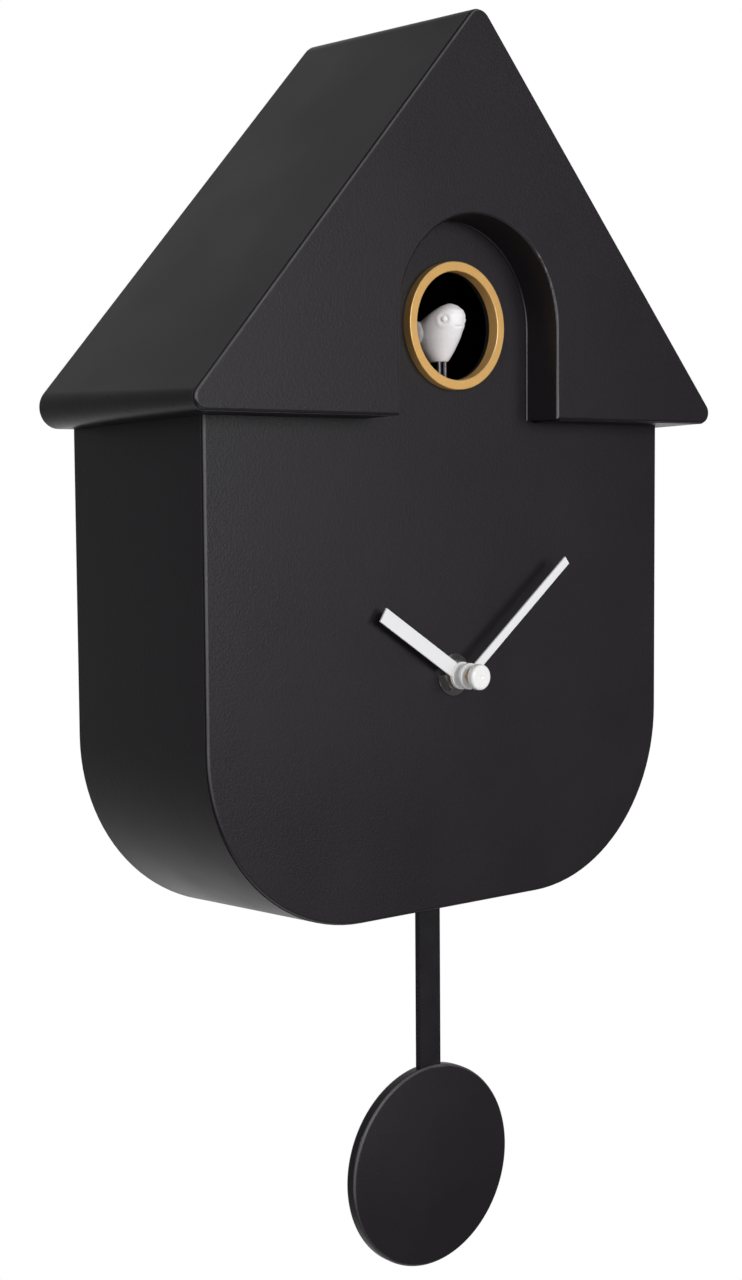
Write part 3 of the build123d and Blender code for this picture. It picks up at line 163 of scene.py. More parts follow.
# %% [markdown]
# ## The floor
# The clock hangs well above a pale floor, which is a plain sheet. It would look grey, because less
# light reaches it than a white wall of the tent, so its paint glows a little for rays that come
# from the camera or a mirror. The rest of it is ordinary white paint, which keeps the shadow.

# %% Make the floor
floor_drop = 1.1
floor_half = 0.8
floor_glow = 0.93
floor_level = cad_box[0][2] - floor_drop
mesh = bpy.data.meshes.new("floor")
bm = bmesh.new()
bmesh.ops.create_grid(bm, x_segments=1, y_segments=1, size=floor_half)
bmesh.ops.translate(bm, verts=bm.verts, vec=(0, 0, floor_level))
bm.to_mesh(mesh)
bm.free()
floor = bpy.data.objects.new("floor", mesh)
scene.collection.objects.link(floor)

floor_paint = bpy.data.materials.new("pale_floor")
floor_paint.use_nodes = True
tree = floor_paint.node_tree
paint = tree.nodes["Principled BSDF"]
paint.inputs["Base Color"].default_value = (0.9, 0.9, 0.9, 1)
paint.inputs["Roughness"].default_value = 0.8
glow_share = maths(tree, "MULTIPLY", maths(tree, "MAXIMUM", *ray_kinds(tree)), floor_glow)
glow = add_node(tree, "ShaderNodeEmission").outputs[0]
mixed = add_node(tree, "ShaderNodeMixShader", {0: glow_share, 1: paint.outputs[0], 2: glow}).outputs[0]
tree.links.new(mixed, tree.nodes["Material Output"].inputs["Surface"])
floor.data.materials.append(floor_paint)
print("floor at", round(floor_level, 3))

# %% [markdown]
# ## Four soft lamps
# Even light alone leaves no shadow and no edge. The key is a small softbox above and a little left
# of the clock: as the camera sees it, the shadows of the hands fall to the left and a little down.
# A wide low box in front fills them again and keeps white paint white. A weak box at the right
# stands where the left of the dial mirrors it to the eye, so satin black is lightest there. The box
# at the far left lights the bird's cheek and draws a thin line along each rounded edge facing it.

# %% Hang the lamps
lamps = (                       # name, place, width, height, power in watts
    ("key", (-0.27, -1.93, 0.37), 0.5, 0.5, 12),
    ("front", (0.14, -1.96, -0.08), 1.3, 0.5, 9.5),
    ("right", (0.84, -1.97, 0.24), 0.5, 0.6, 2.2),
    ("left", (-1.6, -1.05, 0.3), 0.5, 0.9, 6.5))
clock_middle = (clock_low + clock_high) / 2


def hang_lamp(name, place, width, height, power):
    """A soft box that looks at the middle of the clock."""
    data = bpy.data.lights.new(name, "AREA")
    data.shape = "RECTANGLE"
    data.size = width
    data.size_y = height
    data.energy = power
    lamp = bpy.data.objects.new(name, data)
    scene.collection.objects.link(lamp)
    lamp.location = place
    lamp.rotation_euler = (clock_middle - Vector(place)).to_track_quat("-Z", "Y").to_euler()


for lamp in lamps:
    hang_lamp(*lamp)
print("lamps:", [lamp[0] for lamp in lamps])

# %% [markdown]
# ## Tools for finishes
# Each finish is a node material. They all read Object coordinates, so a grain has its true size in
# metres and stays on its part when the part moves. A few helpers keep the finishes short: one
# starts a material, one centres and stretches its coordinates, and one makes noise of a given
# grain size.


# %% Start a finish
def shader_inputs(material):
    """The inputs of the one shader that each finish has."""
    return material.node_tree.nodes["Principled BSDF"].inputs


def start_finish(name, colour, roughness, metallic=0.0):
    """A new material with plain values on its shader."""
    material = bpy.data.materials.new(name)
    material.use_nodes = True
    inputs = shader_inputs(material)
    inputs["Base Color"].default_value = (*colour, 1)
    inputs["Roughness"].default_value = roughness
    inputs["Metallic"].default_value = metallic
    return material


def object_space(material, centre=(0, 0, 0), stretch=(1, 1, 1)):
    """The part's own coordinates, measured from a centre and stretched along the axes."""
    tree = material.node_tree
    place = add_node(tree, "ShaderNodeTexCoord").outputs["Object"]
    place = add_node(tree, "ShaderNodeVectorMath", {0: place, 1: centre}, operation="SUBTRACT").outputs[0]
    return add_node(tree, "ShaderNodeVectorMath", {0: place, 1: stretch}, operation="MULTIPLY").outputs[0]


def grain(material, size, detail=3.0, space=None):
    """Noise whose spots are about this size in metres, as a value from 0 to 1."""
    feeds = {"Vector": space or object_space(material), "Scale": 1 / size, "Detail": detail}
    return add_node(material.node_tree, "ShaderNodeTexNoise", feeds).outputs["Fac"]


finishes = {}
print("noise and coordinates ready")

# %% [markdown]
# ## What a noise may change
# A noise alone shows nothing. It becomes a finish when it moves the roughness, mixes two near
# colours or raises a relief, and these helpers do that. Most of a noise lies close to its middle,
# so it is stretched before it moves the roughness, and each new relief is laid over the last one.

# %% Vary a finish
noise_middle = (0.3, 0.7)       # nearly all of a noise lies between these values


def spread(material, value, low, high):
    """Stretches the middle of a noise over a range of values."""
    return map_range(material.node_tree, value, noise_middle, (low, high))


def vary_roughness(material, value, low, high):
    """Lets a noise move the roughness between two values."""
    material.node_tree.links.new(spread(material, value, low, high), shader_inputs(material)["Roughness"])


def vary_colour(material, value, dark, light):
    """Mixes two colours by a value and gives the result to the shader."""
    tree = material.node_tree
    feeds = {"Factor": value, "A": (*dark, 1), "B": (*light, 1)}
    mix = add_node(tree, "ShaderNodeMix", feeds, data_type="RGBA")
    tree.links.new(mix.outputs["Result"], shader_inputs(material)["Base Color"])


def relief(material, value, depth):
    """Adds relief of this depth in metres over what the material already has."""
    tree = material.node_tree
    normal = shader_inputs(material)["Normal"]
    feeds = {"Height": value, "Distance": depth}
    if normal.is_linked:
        feeds["Normal"] = normal.links[0].from_socket
    tree.links.new(add_node(tree, "ShaderNodeBump", feeds).outputs[0], normal)


print("roughness, colour and relief ready")

# %% [markdown]
# ## Moulded plastic
# Nearly every shell and wheel of the clock is moulded. The mould's surface is eroded to a very fine
# grain, which breaks the reflections and makes the plastic look satin. A broad, faint change of
# roughness stands for the flow of the plastic and for wiping, and specks of a slightly lighter
# shade stand for dust. One recipe, with other values for each plastic, covers them all.


# %% Recipe for moulded plastic
def moulded_plastic(name, colour, roughness, grain_size, grain_depth):
    """Satin moulded plastic: eroded grain, a faint cloud of roughness, and dust-fine specks."""
    cloud_size, cloud_change = 0.035, 0.035
    speck_size, speck_gain, speck_lift = 0.0011, 1.12, 0.0006
    material = start_finish(name, colour, roughness)
    vary_roughness(material, grain(material, cloud_size), roughness - cloud_change, roughness + cloud_change)
    lighter = [min(1.0, part * speck_gain + speck_lift) for part in colour]
    vary_colour(material, grain(material, speck_size), colour, lighter)
    relief(material, grain(material, grain_size, 2.0), grain_depth)
    return material


print("recipe for plastic ready")

# %% [markdown]
# ## Rubbed edges and painted edge highlights
# Where an edge is rounded, its colour is painted paler, more in some stretches than in others.
# Part of this is wear from hands and cloths, and part is a painted highlight, a thin glint of
# light along the edge. Wear could be painted by hand, but the surface's own direction tells where
# an edge turns: it still faces partly forward, and no longer straight. Edges that look down are
# left unpainted, because no light would reach them there.

# %% Recipe for rubbed edges and painted edge highlights
edge_patch_size = 0.006                # from one stronger stretch of wear and painted highlight to the next
edge_patch_least = 0.7                 # share of the wear and painted highlight on the weaker stretches
side_to_edge = (0.2, 0.5)       # how far forward the surface faces where the wear and painted highlight begin and are full
front_to_edge = (0.97, 0.85)    # the same, coming from the flat front
below_to_edge = (-0.3, -0.03)   # how far up the surface faces where the wear and painted highlight begin and are full


def edge_wear_and_highlight(material, light, share=1.0):
    """A lighter colour on the rounded edges of the front, uneven: partly wear, partly a painted highlight,
    left off edges that face down.
    """
    tree = material.node_tree
    normal = add_node(tree, "ShaderNodeNewGeometry").outputs["Normal"]
    own = add_node(tree, "ShaderNodeVectorTransform", {0: normal}, vector_type="NORMAL").outputs[0]
    parts = add_node(tree, "ShaderNodeSeparateXYZ", {0: own}).outputs
    forward = maths(tree, "ABSOLUTE", parts["Y"])
    edge_mark = spread(material, grain(material, edge_patch_size), edge_patch_least * share, share)
    for value, limits in ((forward, side_to_edge), (forward, front_to_edge), (parts["Z"], below_to_edge)):
        edge_mark = maths(tree, "MULTIPLY", edge_mark, map_range(tree, value, limits, (0.0, 1.0)))
    colour = shader_inputs(material)["Base Color"]
    feeds = {"Factor": edge_mark, "A": colour.links[0].from_socket, "B": (*light, 1)}
    mix = add_node(tree, "ShaderNodeMix", feeds, data_type="RGBA")
    tree.links.new(mix.outputs["Result"], colour)


# the recipe paints edge wear together with edge highlights
print("recipe for rubbed edges ready")

# %% [markdown]
# ## Black shells
# The house, its front, the dial and the pendulum's disc are moulded in black ABS, which has a trace
# of violet in it. Their grain is deeper than that of the hidden parts, because it is there to be
# seen, and their rounded edges are painted paler, partly as wear and partly as a painted highlight.

# %% Black ABS of the house
abs_colour = (0.0090, 0.0066, 0.0092)
abs_surface = (0.42, 0.0007, 0.00006)   # roughness, size and depth of the grain
# paler colour of the rounded edges: partly wear, partly a painted highlight
abs_edge_wear_and_highlight = (0.10, 0.096, 0.104)
finishes["black_abs"] = moulded_plastic("black_abs", abs_colour, *abs_surface)
edge_wear_and_highlight(finishes["black_abs"], abs_edge_wear_and_highlight)
print("made black_abs")

# %% [markdown]
# ## Other moulded plastics
# The back cover, the battery box and the bird's rail frame are plainer mouldings in a like black, a
# shade more matt. The movement's case is coarser. Acetal, used for the bird's carriage, the gears
# and the setting knob, is smoother and slightly waxy, and the cap over the hands is the glossiest.
# All of them come from the same recipe with other values.

# %% Plastics inside and at the back
plastics = (                    # name, colour, roughness, size and depth of the grain
    ("black_inner_abs", (0.009, 0.009, 0.0093), 0.5, 0.0006, 0.00002),
    ("movement_black", (0.011, 0.011, 0.0113), 0.45, 0.0008, 0.00003),
    ("black_acetal", (0.009, 0.009, 0.0094), 0.33, 0.0015, 0.000006),
    ("white_acetal", (0.72, 0.71, 0.67), 0.36, 0.0015, 0.000006),
    ("white_plastic", (0.84, 0.84, 0.83), 0.24, 0.002, 0.000003))
for plastic in plastics:
    finishes[plastic[0]] = moulded_plastic(*plastic)
print("made", [plastic[0] for plastic in plastics])

# %% [markdown]
# ## The pendulum's disc
# The disc is the same black plastic, but its face is very slightly domed, as a thin round moulding
# comes out when it cools from the rim inwards. The dome is only felt in the way the light slides
# over it, so a smooth relief that falls with the square of the distance is enough.

# %% Domed disc
disc_dome = 0.0013
disc_low, disc_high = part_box("pendulum_disc")
disc_radius = (disc_high.x - disc_low.x) / 2
disc = moulded_plastic("black_disc", abs_colour, *abs_surface)
tree = disc.node_tree
across = object_space(disc, (disc_low + disc_high) / 2, (1 / disc_radius, 0, 1 / disc_radius))
distance = add_node(tree, "ShaderNodeVectorMath", {0: across}, operation="LENGTH").outputs["Value"]
relief(disc, maths(tree, "SUBTRACT", 1.0, maths(tree, "POWER", distance, 2.0)), disc_dome)
# paler rounded edges: partly wear, partly a painted highlight
edge_wear_and_highlight(disc, abs_edge_wear_and_highlight)
finishes["black_disc"] = disc
print("made black_disc, radius", round(disc_radius, 4))

# %% [markdown]
# ## Painted hands and rod
# The hands are stamped steel sprayed white, and the pendulum's rod is a flat strip sprayed satin
# black. Sprayed paint settles into a low ripple, called orange peel, a little over a millimetre
# across. A second, finer noise keeps the sheen from being perfectly even.


# %% Sprayed paint
def sprayed_paint(name, colour, roughness, peel_depth):
    """Paint with orange peel, and a finer ripple a sixth as deep."""
    sheen_size, sheen_change = 0.006, 0.04
    shade_size, shade_loss = 0.0025, 0.96
    peel_size, ripple_size = 0.0012, 0.00025
    material = start_finish(name, colour, roughness)
    vary_roughness(material, grain(material, sheen_size), roughness - sheen_change, roughness + sheen_change)
    darker = [part * shade_loss for part in colour]
    vary_colour(material, grain(material, shade_size), darker, colour)
    relief(material, grain(material, peel_size, 1.0), peel_depth)
    relief(material, grain(material, ripple_size, 2.0), peel_depth / 6)
    return material


finishes["white_paint"] = sprayed_paint("white_paint", (0.84, 0.84, 0.85), 0.38, 0.000008)
finishes["black_metal"] = sprayed_paint("black_metal", (0.0085, 0.0068, 0.0088), 0.4, 0.000008)
print("made white_paint, black_metal")

# %% [markdown]
# ## Turned metal
# The window's gold ring, the brass bush and nut, the chromed washer and the bird's pins were all
# turned, spun or drawn, so their fine lines run in circles round the part's own axis. A wave
# texture in rings gives them, centred on the part with its box. Plated parts keep only a trace of
# the lines.


# %% Recipe for turned metal
def wave_scale(pitch):
    """The scale at which Blender's wave texture repeats once every pitch."""
    return 2 * math.pi / 20 / pitch


def rings(material, centre, pitch, wobble=0.4):
    """Circles round the part's axis, one every pitch, slightly uneven."""
    return add_node(material.node_tree, "ShaderNodeTexWave", {
        "Vector": object_space(material, centre), "Scale": wave_scale(pitch),
        "Distortion": wobble, "Detail Scale": 2.0}, wave_type="RINGS", rings_direction="Y").outputs["Fac"]


def middle_of(node):
    """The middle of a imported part's box."""
    low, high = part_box(node)
    return (low + high) / 2


def turned_metal(name, node, colour, roughness, smudge, pitch, depth):
    """Metal with circular lines round one part's middle, and smudges of handling."""
    smudge_size, tarnish_size, tarnish = 0.004, 0.0015, 0.93
    material = start_finish(name, colour, roughness, 1.0)
    vary_roughness(material, grain(material, smudge_size), roughness - smudge, roughness + smudge)
    deeper = [part * tarnish for part in colour]
    vary_colour(material, grain(material, tarnish_size), deeper, colour)
    relief(material, rings(material, middle_of(node), pitch), depth)
    return material


print("recipe for turned metal ready")

# %% [markdown]
# ## Gold, brass, wire and chrome
# One table gives the four metals. The gold is a tinted lacquer over metal, so it is only half as
# metallic as the others, and the ring's rounded edge is painted paler, partly as wear and partly
# as a painted highlight. The chromed washer and nut, rubbed by the spanner, are painted paler at
# theirs too, partly as wear and partly as a painted highlight.

# %% Metals of the ring, the shaft and the pins
metals = (                      # name, part, colour, roughness, smudges, pitch and depth of the lines
    ("satin_gold", "window_ring", (0.87, 0.515, 0.17), 0.42, 0.04, 0.00022, 0.0000022),
    ("brass_turned", "shaft_bush", (0.66, 0.49, 0.29), 0.26, 0.04, 0.0003, 0.000004),
    ("drawn_wire", "bird_pins", (0.10, 0.095, 0.105), 0.36, 0.04, 0.0004, 0.000002),
    ("chrome_plate", "dial_washer", (0.66, 0.63, 0.62), 0.13, 0.03, 0.0003, 0.0000006))
for metal in metals:
    finishes[metal[0]] = turned_metal(*metal)
shader_inputs(finishes["satin_gold"])["Metallic"].default_value = 0.5
# paler rounded edges on the gold ring and the chromed washer and nut: partly wear, partly a painted
# highlight
edge_wear_and_highlight(finishes["satin_gold"], (1.0, 0.78, 0.46), 0.7)
edge_wear_and_highlight(finishes["chrome_plate"], (0.95, 0.95, 0.97))
print("made", [metal[0] for metal in metals])

# %% [markdown]
# ## Steel, nickel and zinc
# Screws, the pendulum's hanger and the motor's can are zinc plated: bluish grey with soft crystal
# patches, which a Voronoi texture gives. Contact strips are nickel plated spring steel, rolled
# lengthwise, so their noise is stretched into lines. The pendulum's magnet has a thin coat of
# slightly yellow nickel.


# %% Plated steels
def zinc_plated(name):
    """Zinc with crystal patches of slightly different greys and sheens."""
    crystal_size, grain_size, grain_depth = 0.0016, 0.0003, 0.000004
    material = start_finish(name, (0.56, 0.57, 0.60), 0.34, 1.0)
    tree = material.node_tree
    feeds = {"Vector": object_space(material), "Scale": 1 / crystal_size}
    crystals = add_node(tree, "ShaderNodeTexVoronoi", feeds).outputs["Color"]
    patches = add_node(tree, "ShaderNodeSeparateColor", {0: crystals}).outputs
    vary_colour(material, patches[0], (0.50, 0.51, 0.55), (0.62, 0.63, 0.65))
    vary_roughness(material, patches[1], 0.30, 0.40)
    relief(material, grain(material, grain_size), grain_depth)
    return material


def rolled_metal(name, colour, roughness, stretch):
    """Nickel over sheet metal, with a noise that the rolling has stretched into lines."""
    line_size, line_depth, sheen_change = 0.0004, 0.000004, 0.06
    shade_size, shade_loss = 0.003, 0.9
    material = start_finish(name, colour, roughness, 1.0)
    lines = grain(material, line_size, space=object_space(material, stretch=stretch))
    vary_roughness(material, lines, roughness - sheen_change, roughness + sheen_change)
    vary_colour(material, grain(material, shade_size), [part * shade_loss for part in colour], colour)
    relief(material, lines, line_depth)
    return material


finishes["zinc_steel"] = zinc_plated("zinc_steel")
finishes["nickel_strip"] = rolled_metal("nickel_strip", (0.66, 0.63, 0.56), 0.30, (1, 1, 0.06))
finishes["magnet_nickel"] = rolled_metal("magnet_nickel", (0.62, 0.59, 0.53), 0.24, (1, 1, 1))
print("made zinc_steel, nickel_strip, magnet_nickel")

# %% [markdown]
# ## Wound copper
# A coil shows the turns of its enamelled wire side by side. Bands across the coil's axis, one for
# each turn, give both the ridges and the darker gaps between the wires. The clear enamel over the
# wire is a thin coat.

# %% Enamelled wire
wire_pitch = 0.00022
wire_ridge = 0.00006
copper = start_finish("copper_winding", (0.62, 0.24, 0.09), 0.3, 1.0)
shader_inputs(copper)["Coat Weight"].default_value = 0.6
turns = add_node(copper.node_tree, "ShaderNodeTexWave", {
    "Vector": object_space(copper), "Scale": wave_scale(wire_pitch),
    "Distortion": 0.3}, bands_direction="X").outputs["Fac"]
vary_colour(copper, turns, (0.25, 0.07, 0.025), (0.68, 0.28, 0.11))
vary_roughness(copper, grain(copper, 0.002), 0.26, 0.36)
relief(copper, turns, wire_ridge)
finishes["copper_winding"] = copper
print("made copper_winding")

# %% [markdown]
# ## Battery jackets
# A cell is a steel can in a tight printed film. The film is left plain here: dark, with a copper
# coloured band at each end, and bare steel at the very ends. The distance from the middle of the
# cell, measured along it, decides which of the three shows.

# %% Film over a steel can
film, copper_band, bare_steel = (0.035, 0.038, 0.045), (0.55, 0.26, 0.10), (0.6, 0.6, 0.6)
band_start, steel_start = 0.62, 0.95    # shares of half a cell's length
cells_low, cells_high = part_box("cuckoo_cells")
half_cell = (cells_high.x - cells_low.x) / 2
jacket = start_finish("cell_jacket", film, 0.3)
tree = jacket.node_tree
along = object_space(jacket, middle_of("cuckoo_cells"), (1 / half_cell, 1, 1))
from_middle = maths(tree, "ABSOLUTE", add_node(tree, "ShaderNodeSeparateXYZ", {0: along}).outputs["X"])
ramp = add_node(tree, "ShaderNodeValToRGB", {0: from_middle})
ramp.color_ramp.interpolation = "CONSTANT"
stops = ramp.color_ramp.elements
stops[0].color = (*film, 1)
stops[1].position = band_start
stops[1].color = (*copper_band, 1)
stops.new(steel_start).color = (*bare_steel, 1)
tree.links.new(ramp.outputs[0], shader_inputs(jacket)["Base Color"])
vary_roughness(jacket, grain(jacket, 0.003), 0.24, 0.36)
relief(jacket, grain(jacket, 0.002), 0.000008)
finishes["cell_jacket"] = jacket
print("made cell_jacket")

# %% [markdown]
# ## The loudspeaker's paper
# The loudspeaker's cone is pressed paper: dark and fibrous, with faint rings from the press. A fine
# noise with much detail stands for the fibres. It moves the colour, the roughness and the relief
# together, as real fibres do.

# %% Pressed paper
press_pitch, press_depth = 0.0018, 0.0001
fibre_size, fibre_depth = 0.0005, 0.00004
paper = start_finish("speaker_paper", (0.022, 0.021, 0.02), 0.85)
shader_inputs(paper)["Sheen Weight"].default_value = 0.15
fibres = grain(paper, fibre_size, 4.0)
vary_colour(paper, fibres, (0.016, 0.015, 0.014), (0.034, 0.032, 0.03))
vary_roughness(paper, fibres, 0.78, 0.92)
relief(paper, rings(paper, middle_of("speaker_cone"), press_pitch, 0.1), press_depth)
relief(paper, fibres, fibre_depth)
finishes["speaker_paper"] = paper
print("made speaker_paper")

# %% [markdown]
# ## The sound board
# The board has a green solder mask over copper tracks, drawn here by a brick pattern whose joints
# are the tracks. The pattern lies flat, so its coordinates are turned a quarter to stand upright
# with the board. The chip is potted under a drop of black resin, smooth with slow waves.

# %% Circuit board and resin
track_spacing, track_width = 0.006, 0.03    # in metres, and as a share of the spacing
track_height = 0.00004
wave_size, wave_depth = 0.003, 0.00008
board = start_finish("circuit_board", (0.02, 0.13, 0.06), 0.3)
tree = board.node_tree
upright = add_node(tree, "ShaderNodeMapping", {
    "Vector": object_space(board), "Rotation": (math.pi / 2, 0, 0)}).outputs[0]
tracks = add_node(tree, "ShaderNodeTexBrick", {
    "Vector": upright, "Scale": 1 / track_spacing, "Mortar Size": track_width}).outputs["Fac"]
vary_colour(board, tracks, (0.012, 0.10, 0.045), (0.035, 0.19, 0.08))
vary_roughness(board, grain(board, 0.002), 0.26, 0.36)
relief(board, tracks, track_height)
finishes["circuit_board"] = board

resin = start_finish("black_resin", (0.01, 0.01, 0.01), 0.18)
vary_colour(resin, grain(resin, wave_size), (0.008, 0.008, 0.008), (0.014, 0.013, 0.013))
vary_roughness(resin, grain(resin, 0.0015), 0.14, 0.26)
relief(resin, grain(resin, wave_size, 1.0), wave_depth)
finishes["black_resin"] = resin
print("made circuit_board, black_resin")

# %% [markdown]
# ## White bird plastic
# The bird is moulded in white plastic with a soft sheen. The white leans very slightly to violet,
# and the mould's polish left a faint unevenness that shows only where the light grazes it. A little
# light goes through the skin and comes out beside the place where it entered, which softens the
# shading.

# %% Finish of the bird
bird_plastic = moulded_plastic("bird_white", (0.85, 0.825, 0.845), 0.34, 0.0009, 0.000006)
skin_values = {"Weight": 0.4, "Radius": (1.0, 1.0, 1.0), "Scale": 0.002}
for name, value in skin_values.items():
    shader_inputs(bird_plastic)["Subsurface " + name].default_value = value
finishes["bird_white"] = bird_plastic
print("made bird_white, light goes", skin_values["Scale"], "deep")

# %% [markdown]
# ## Putting the finishes on
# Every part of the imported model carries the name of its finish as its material. Its slot gets the
# finish of that name, and the part itself, with its smooth normals, is left as it is. Two parts
# then get a finish of their own: the bird's thin pins, and the pendulum's disc with its dome.

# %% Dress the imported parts
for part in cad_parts.values():
    for held in part.material_slots:
        held.material = finishes[held.material.name.split(".")[0]]
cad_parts["bird_pins"].material_slots[0].material = finishes["drawn_wire"]
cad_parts["pendulum_disc"].material_slots[0].material = finishes["black_disc"]
print("dressed", len(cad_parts), "parts with", len(finishes), "finishes")

# %% [markdown]
# ## The bird
# The bird is a small moulding with a full back, a round head and hardly any beak. It could be
# carved with a sculpting brush. In code, its body is a ring of points drawn up through a list of
# ovals and then subdivided, and the wings and tail are pressed spheres.

# %% The bird's ovals
bird_height = 0.0181
bird_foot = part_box("bird")[0].z
pins = middle_of("bird_pins")
bird_ovals = (                  # level, middle ahead of the pins, half width, half length
    (0.0, -0.094, 0.149, 0.199),
    (0.09, -0.115, 0.215, 0.285),
    (0.182, -0.138, 0.276, 0.365),
    (0.403, -0.199, 0.359, 0.575),
    (0.597, -0.122, 0.359, 0.597),
    (0.785, 0.105, 0.309, 0.392),
    (0.878, 0.177, 0.243, 0.298),
    (0.961, 0.210, 0.133, 0.155),
    (1.0, 0.215, 0.028, 0.033))


def bird_point(side, forward, level):
    """A place on the bird, from shares of its height."""
    return Vector((
        pins.x + side * bird_height, pins.y - forward * bird_height, bird_foot + level * bird_height))


def place_oval(bm, ring, oval):
    """Moves a unit ring to one of the bird's ovals."""
    level, forward, half_width, half_length = oval
    bmesh.ops.scale(bm, verts=ring, vec=(half_width * bird_height, half_length * bird_height, 1))
    bmesh.ops.translate(bm, verts=ring, vec=bird_point(0, forward, level))


def unit_ring(bm, ring, oval):
    """Brings an oval back to a unit ring, so that the next one can be placed."""
    level, forward, half_width, half_length = oval
    bmesh.ops.translate(bm, verts=ring, vec=-bird_point(0, forward, level))
    bmesh.ops.scale(bm, verts=ring, vec=(1 / (half_width * bird_height), 1 / (half_length * bird_height), 1))


print("bird stands on", [round(part, 4) for part in bird_point(0, 0, 0)])


# %% Draw up the bird's body
def ring_edges(bm, ring):
    """The edges that join the points of a ring."""
    inside = set(ring)
    return [edge for edge in bm.edges if all(vert in inside for vert in edge.verts)]


foot_sharpness = 0.8            # how much of the foot's edge the subdivision leaves
body = bmesh.new()
ring = bmesh.ops.create_circle(body, segments=40, radius=1)["verts"]
place_oval(body, ring, bird_ovals[0])
bmesh.ops.holes_fill(body, edges=ring_edges(body, ring))
crease = body.edges.layers.float.new("crease_edge")
for edge in ring_edges(body, ring):
    edge[crease] = foot_sharpness
for lower, upper in zip(bird_ovals, bird_ovals[1:]):
    made = bmesh.ops.extrude_edge_only(body, edges=ring_edges(body, ring))["geom"]
    ring = [item for item in made if isinstance(item, bmesh.types.BMVert)]
    unit_ring(body, ring, lower)
    place_oval(body, ring, upper)
bmesh.ops.holes_fill(body, edges=ring_edges(body, ring))
bmesh.ops.recalc_face_normals(body, faces=body.faces)
print("bird's body drawn through", len(bird_ovals), "ovals")

# %% [markdown]
# ## Melting the bird together
# A moulded figure has no seam where a wing begins. A voxel remesh melts the body, the wings and the
# tail into one skin, and smoothing rounds the joins, as wax would. What the modifiers show is then
# made the mesh itself, so that the next step can press single points of it.


# %% Helpers for melting
def add_lobe(bm, place, half_sizes, turn):
    """A pressed sphere, for a wing or the tail."""
    made = bmesh.ops.create_icosphere(bm, subdivisions=4, radius=bird_height)["verts"]
    bmesh.ops.scale(bm, verts=made, vec=half_sizes)
    bmesh.ops.rotate(bm, verts=made, matrix=turn)
    bmesh.ops.translate(bm, verts=made, vec=place)


def to_object(bm, name):
    """Puts a finished bmesh into the scene as an object."""
    mesh = bpy.data.meshes.new(name)
    bm.to_mesh(mesh)
    bm.free()
    made = bpy.data.objects.new(name, mesh)
    scene.collection.objects.link(made)
    return made


def bake_modifiers(made):
    """Replaces the object's mesh by what its modifiers show."""
    graph = bpy.context.evaluated_depsgraph_get()
    baked = bpy.data.meshes.new_from_object(made.evaluated_get(graph))
    made.modifiers.clear()
    made.data = baked


print("helpers for melting ready")

# %% Add the wings and the tail, and melt them together
wing_side, wing_forward, wing_level = 0.30, -0.43, 0.50
wing_half_sizes, wing_splay = (0.105, 0.36, 0.235), math.radians(6)
tail_forward, tail_level = -0.713, 0.475
tail_half_sizes, tail_tilt = (0.188, 0.470, 0.099), math.radians(12)
voxel = 0.00013
shell = to_object(body, "bird_shell")
subdivision = shell.modifiers.new("round", "SUBSURF")
subdivision.levels = subdivision.render_levels = 2
bake_modifiers(shell)

whole = bmesh.new()
whole.from_mesh(shell.data)
bpy.data.objects.remove(shell)
for side in (-1, 1):
    place = bird_point(side * wing_side, wing_forward, wing_level)
    add_lobe(whole, place, wing_half_sizes, Matrix.Rotation(side * wing_splay, 3, "Z"))
place = bird_point(0, tail_forward, tail_level)
add_lobe(whole, place, tail_half_sizes, Matrix.Rotation(tail_tilt, 3, "X"))
bird = to_object(whole, "bird_figure")
melt = bird.modifiers.new("melt", "REMESH")
melt.mode = "VOXEL"
melt.voxel_size = voxel
rounding = bird.modifiers.new("round", "SMOOTH")
rounding.factor = 0.5
rounding.iterations = 20
bake_modifiers(bird)
print("bird's skin:", len(bird.data.polygons), "faces")

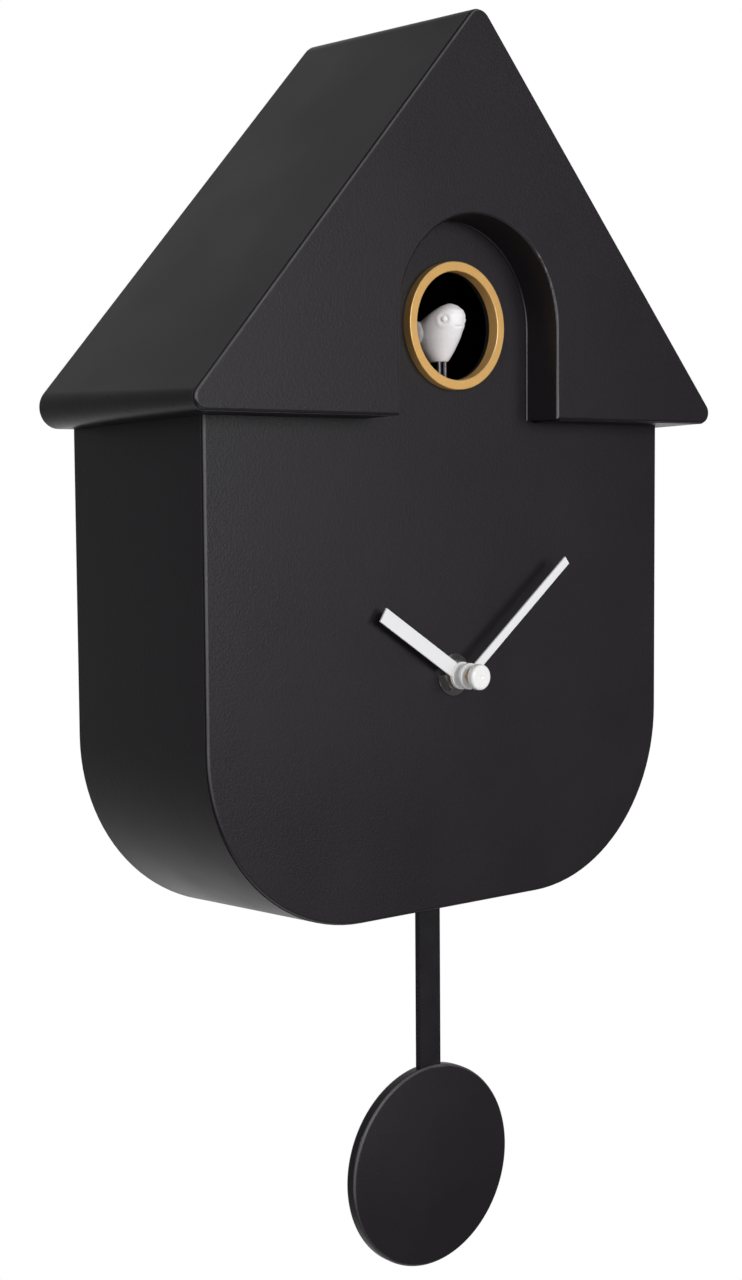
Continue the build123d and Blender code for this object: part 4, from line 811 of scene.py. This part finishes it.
# %% [markdown]
# ## The bird's face
# Each eye is a small bump in a ring-shaped dimple, inside a soft raised rim. The beak is only a
# short crease across the front of the head. Both are pressed into the skin along its normals, by a
# profile over the distance from the eye or the crease, as a round tool would press them.

# %% Profiles of the eyes and the crease
bump_radius, bump_height = 0.00078, 0.00042
dimple_radius, dimple_width, dimple_depth = 0.00118, 0.00032, 0.00022
rim_radius, rim_width, rim_height = 0.0023, 0.0006, 0.00013
crease_half_width, crease_half_length, crease_depth = 0.00028, 0.0014, 0.0009
crease_level = bird_point(0, 0, 0.588).z
face_starts = pins.y - 0.3 * bird_height    # the crease stays ahead of this


def eye_profile(distance):
    """Height of the skin over the distance from the middle of an eye."""
    height = rim_height * math.exp(-((distance - rim_radius) / rim_width) ** 2)
    height -= dimple_depth * math.exp(-((distance - dimple_radius) / dimple_width) ** 2)
    if distance < bump_radius:
        height += bump_height * math.sqrt(1 - (distance / bump_radius) ** 2)
    return height


def crease_profile(place):
    """Depth of the crease at a place on the front of the head."""
    if place.y > face_starts:
        return 0.0
    across = (place.z - crease_level) / crease_half_width
    along = (place.x - pins.x) / crease_half_length
    return crease_depth * math.exp(-across ** 2) * math.exp(-along ** 4)


print("crease at level", round(crease_level, 4))

# %% Press the eyes and the crease
eye_side, eye_forward, eye_level = 0.26, 0.343, 0.713
skin = bmesh.new()
skin.from_mesh(bird.data)
skin.normal_update()
eye_middles = []
for side in (-1, 1):
    place = bird_point(side * eye_side, eye_forward, eye_level)
    nearest = min(skin.verts, key=lambda vert: (vert.co - place).length)
    eye_middles.append(nearest.co.copy())

heights = []
for vert in skin.verts:
    eyes = sum(eye_profile((vert.co - middle).length) for middle in eye_middles)
    heights.append(eyes - crease_profile(vert.co))
for vert, height in zip(skin.verts, heights):
    vert.co += vert.normal * height
for face in skin.faces:
    face.smooth = True
skin.to_mesh(bird.data)
skin.free()
bird.data.materials.clear()
bird.data.materials.append(finishes["bird_white"])
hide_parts("bird")
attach(bird, "bird_slide")
print("eyes at", [[round(part, 4) for part in middle] for middle in eye_middles])
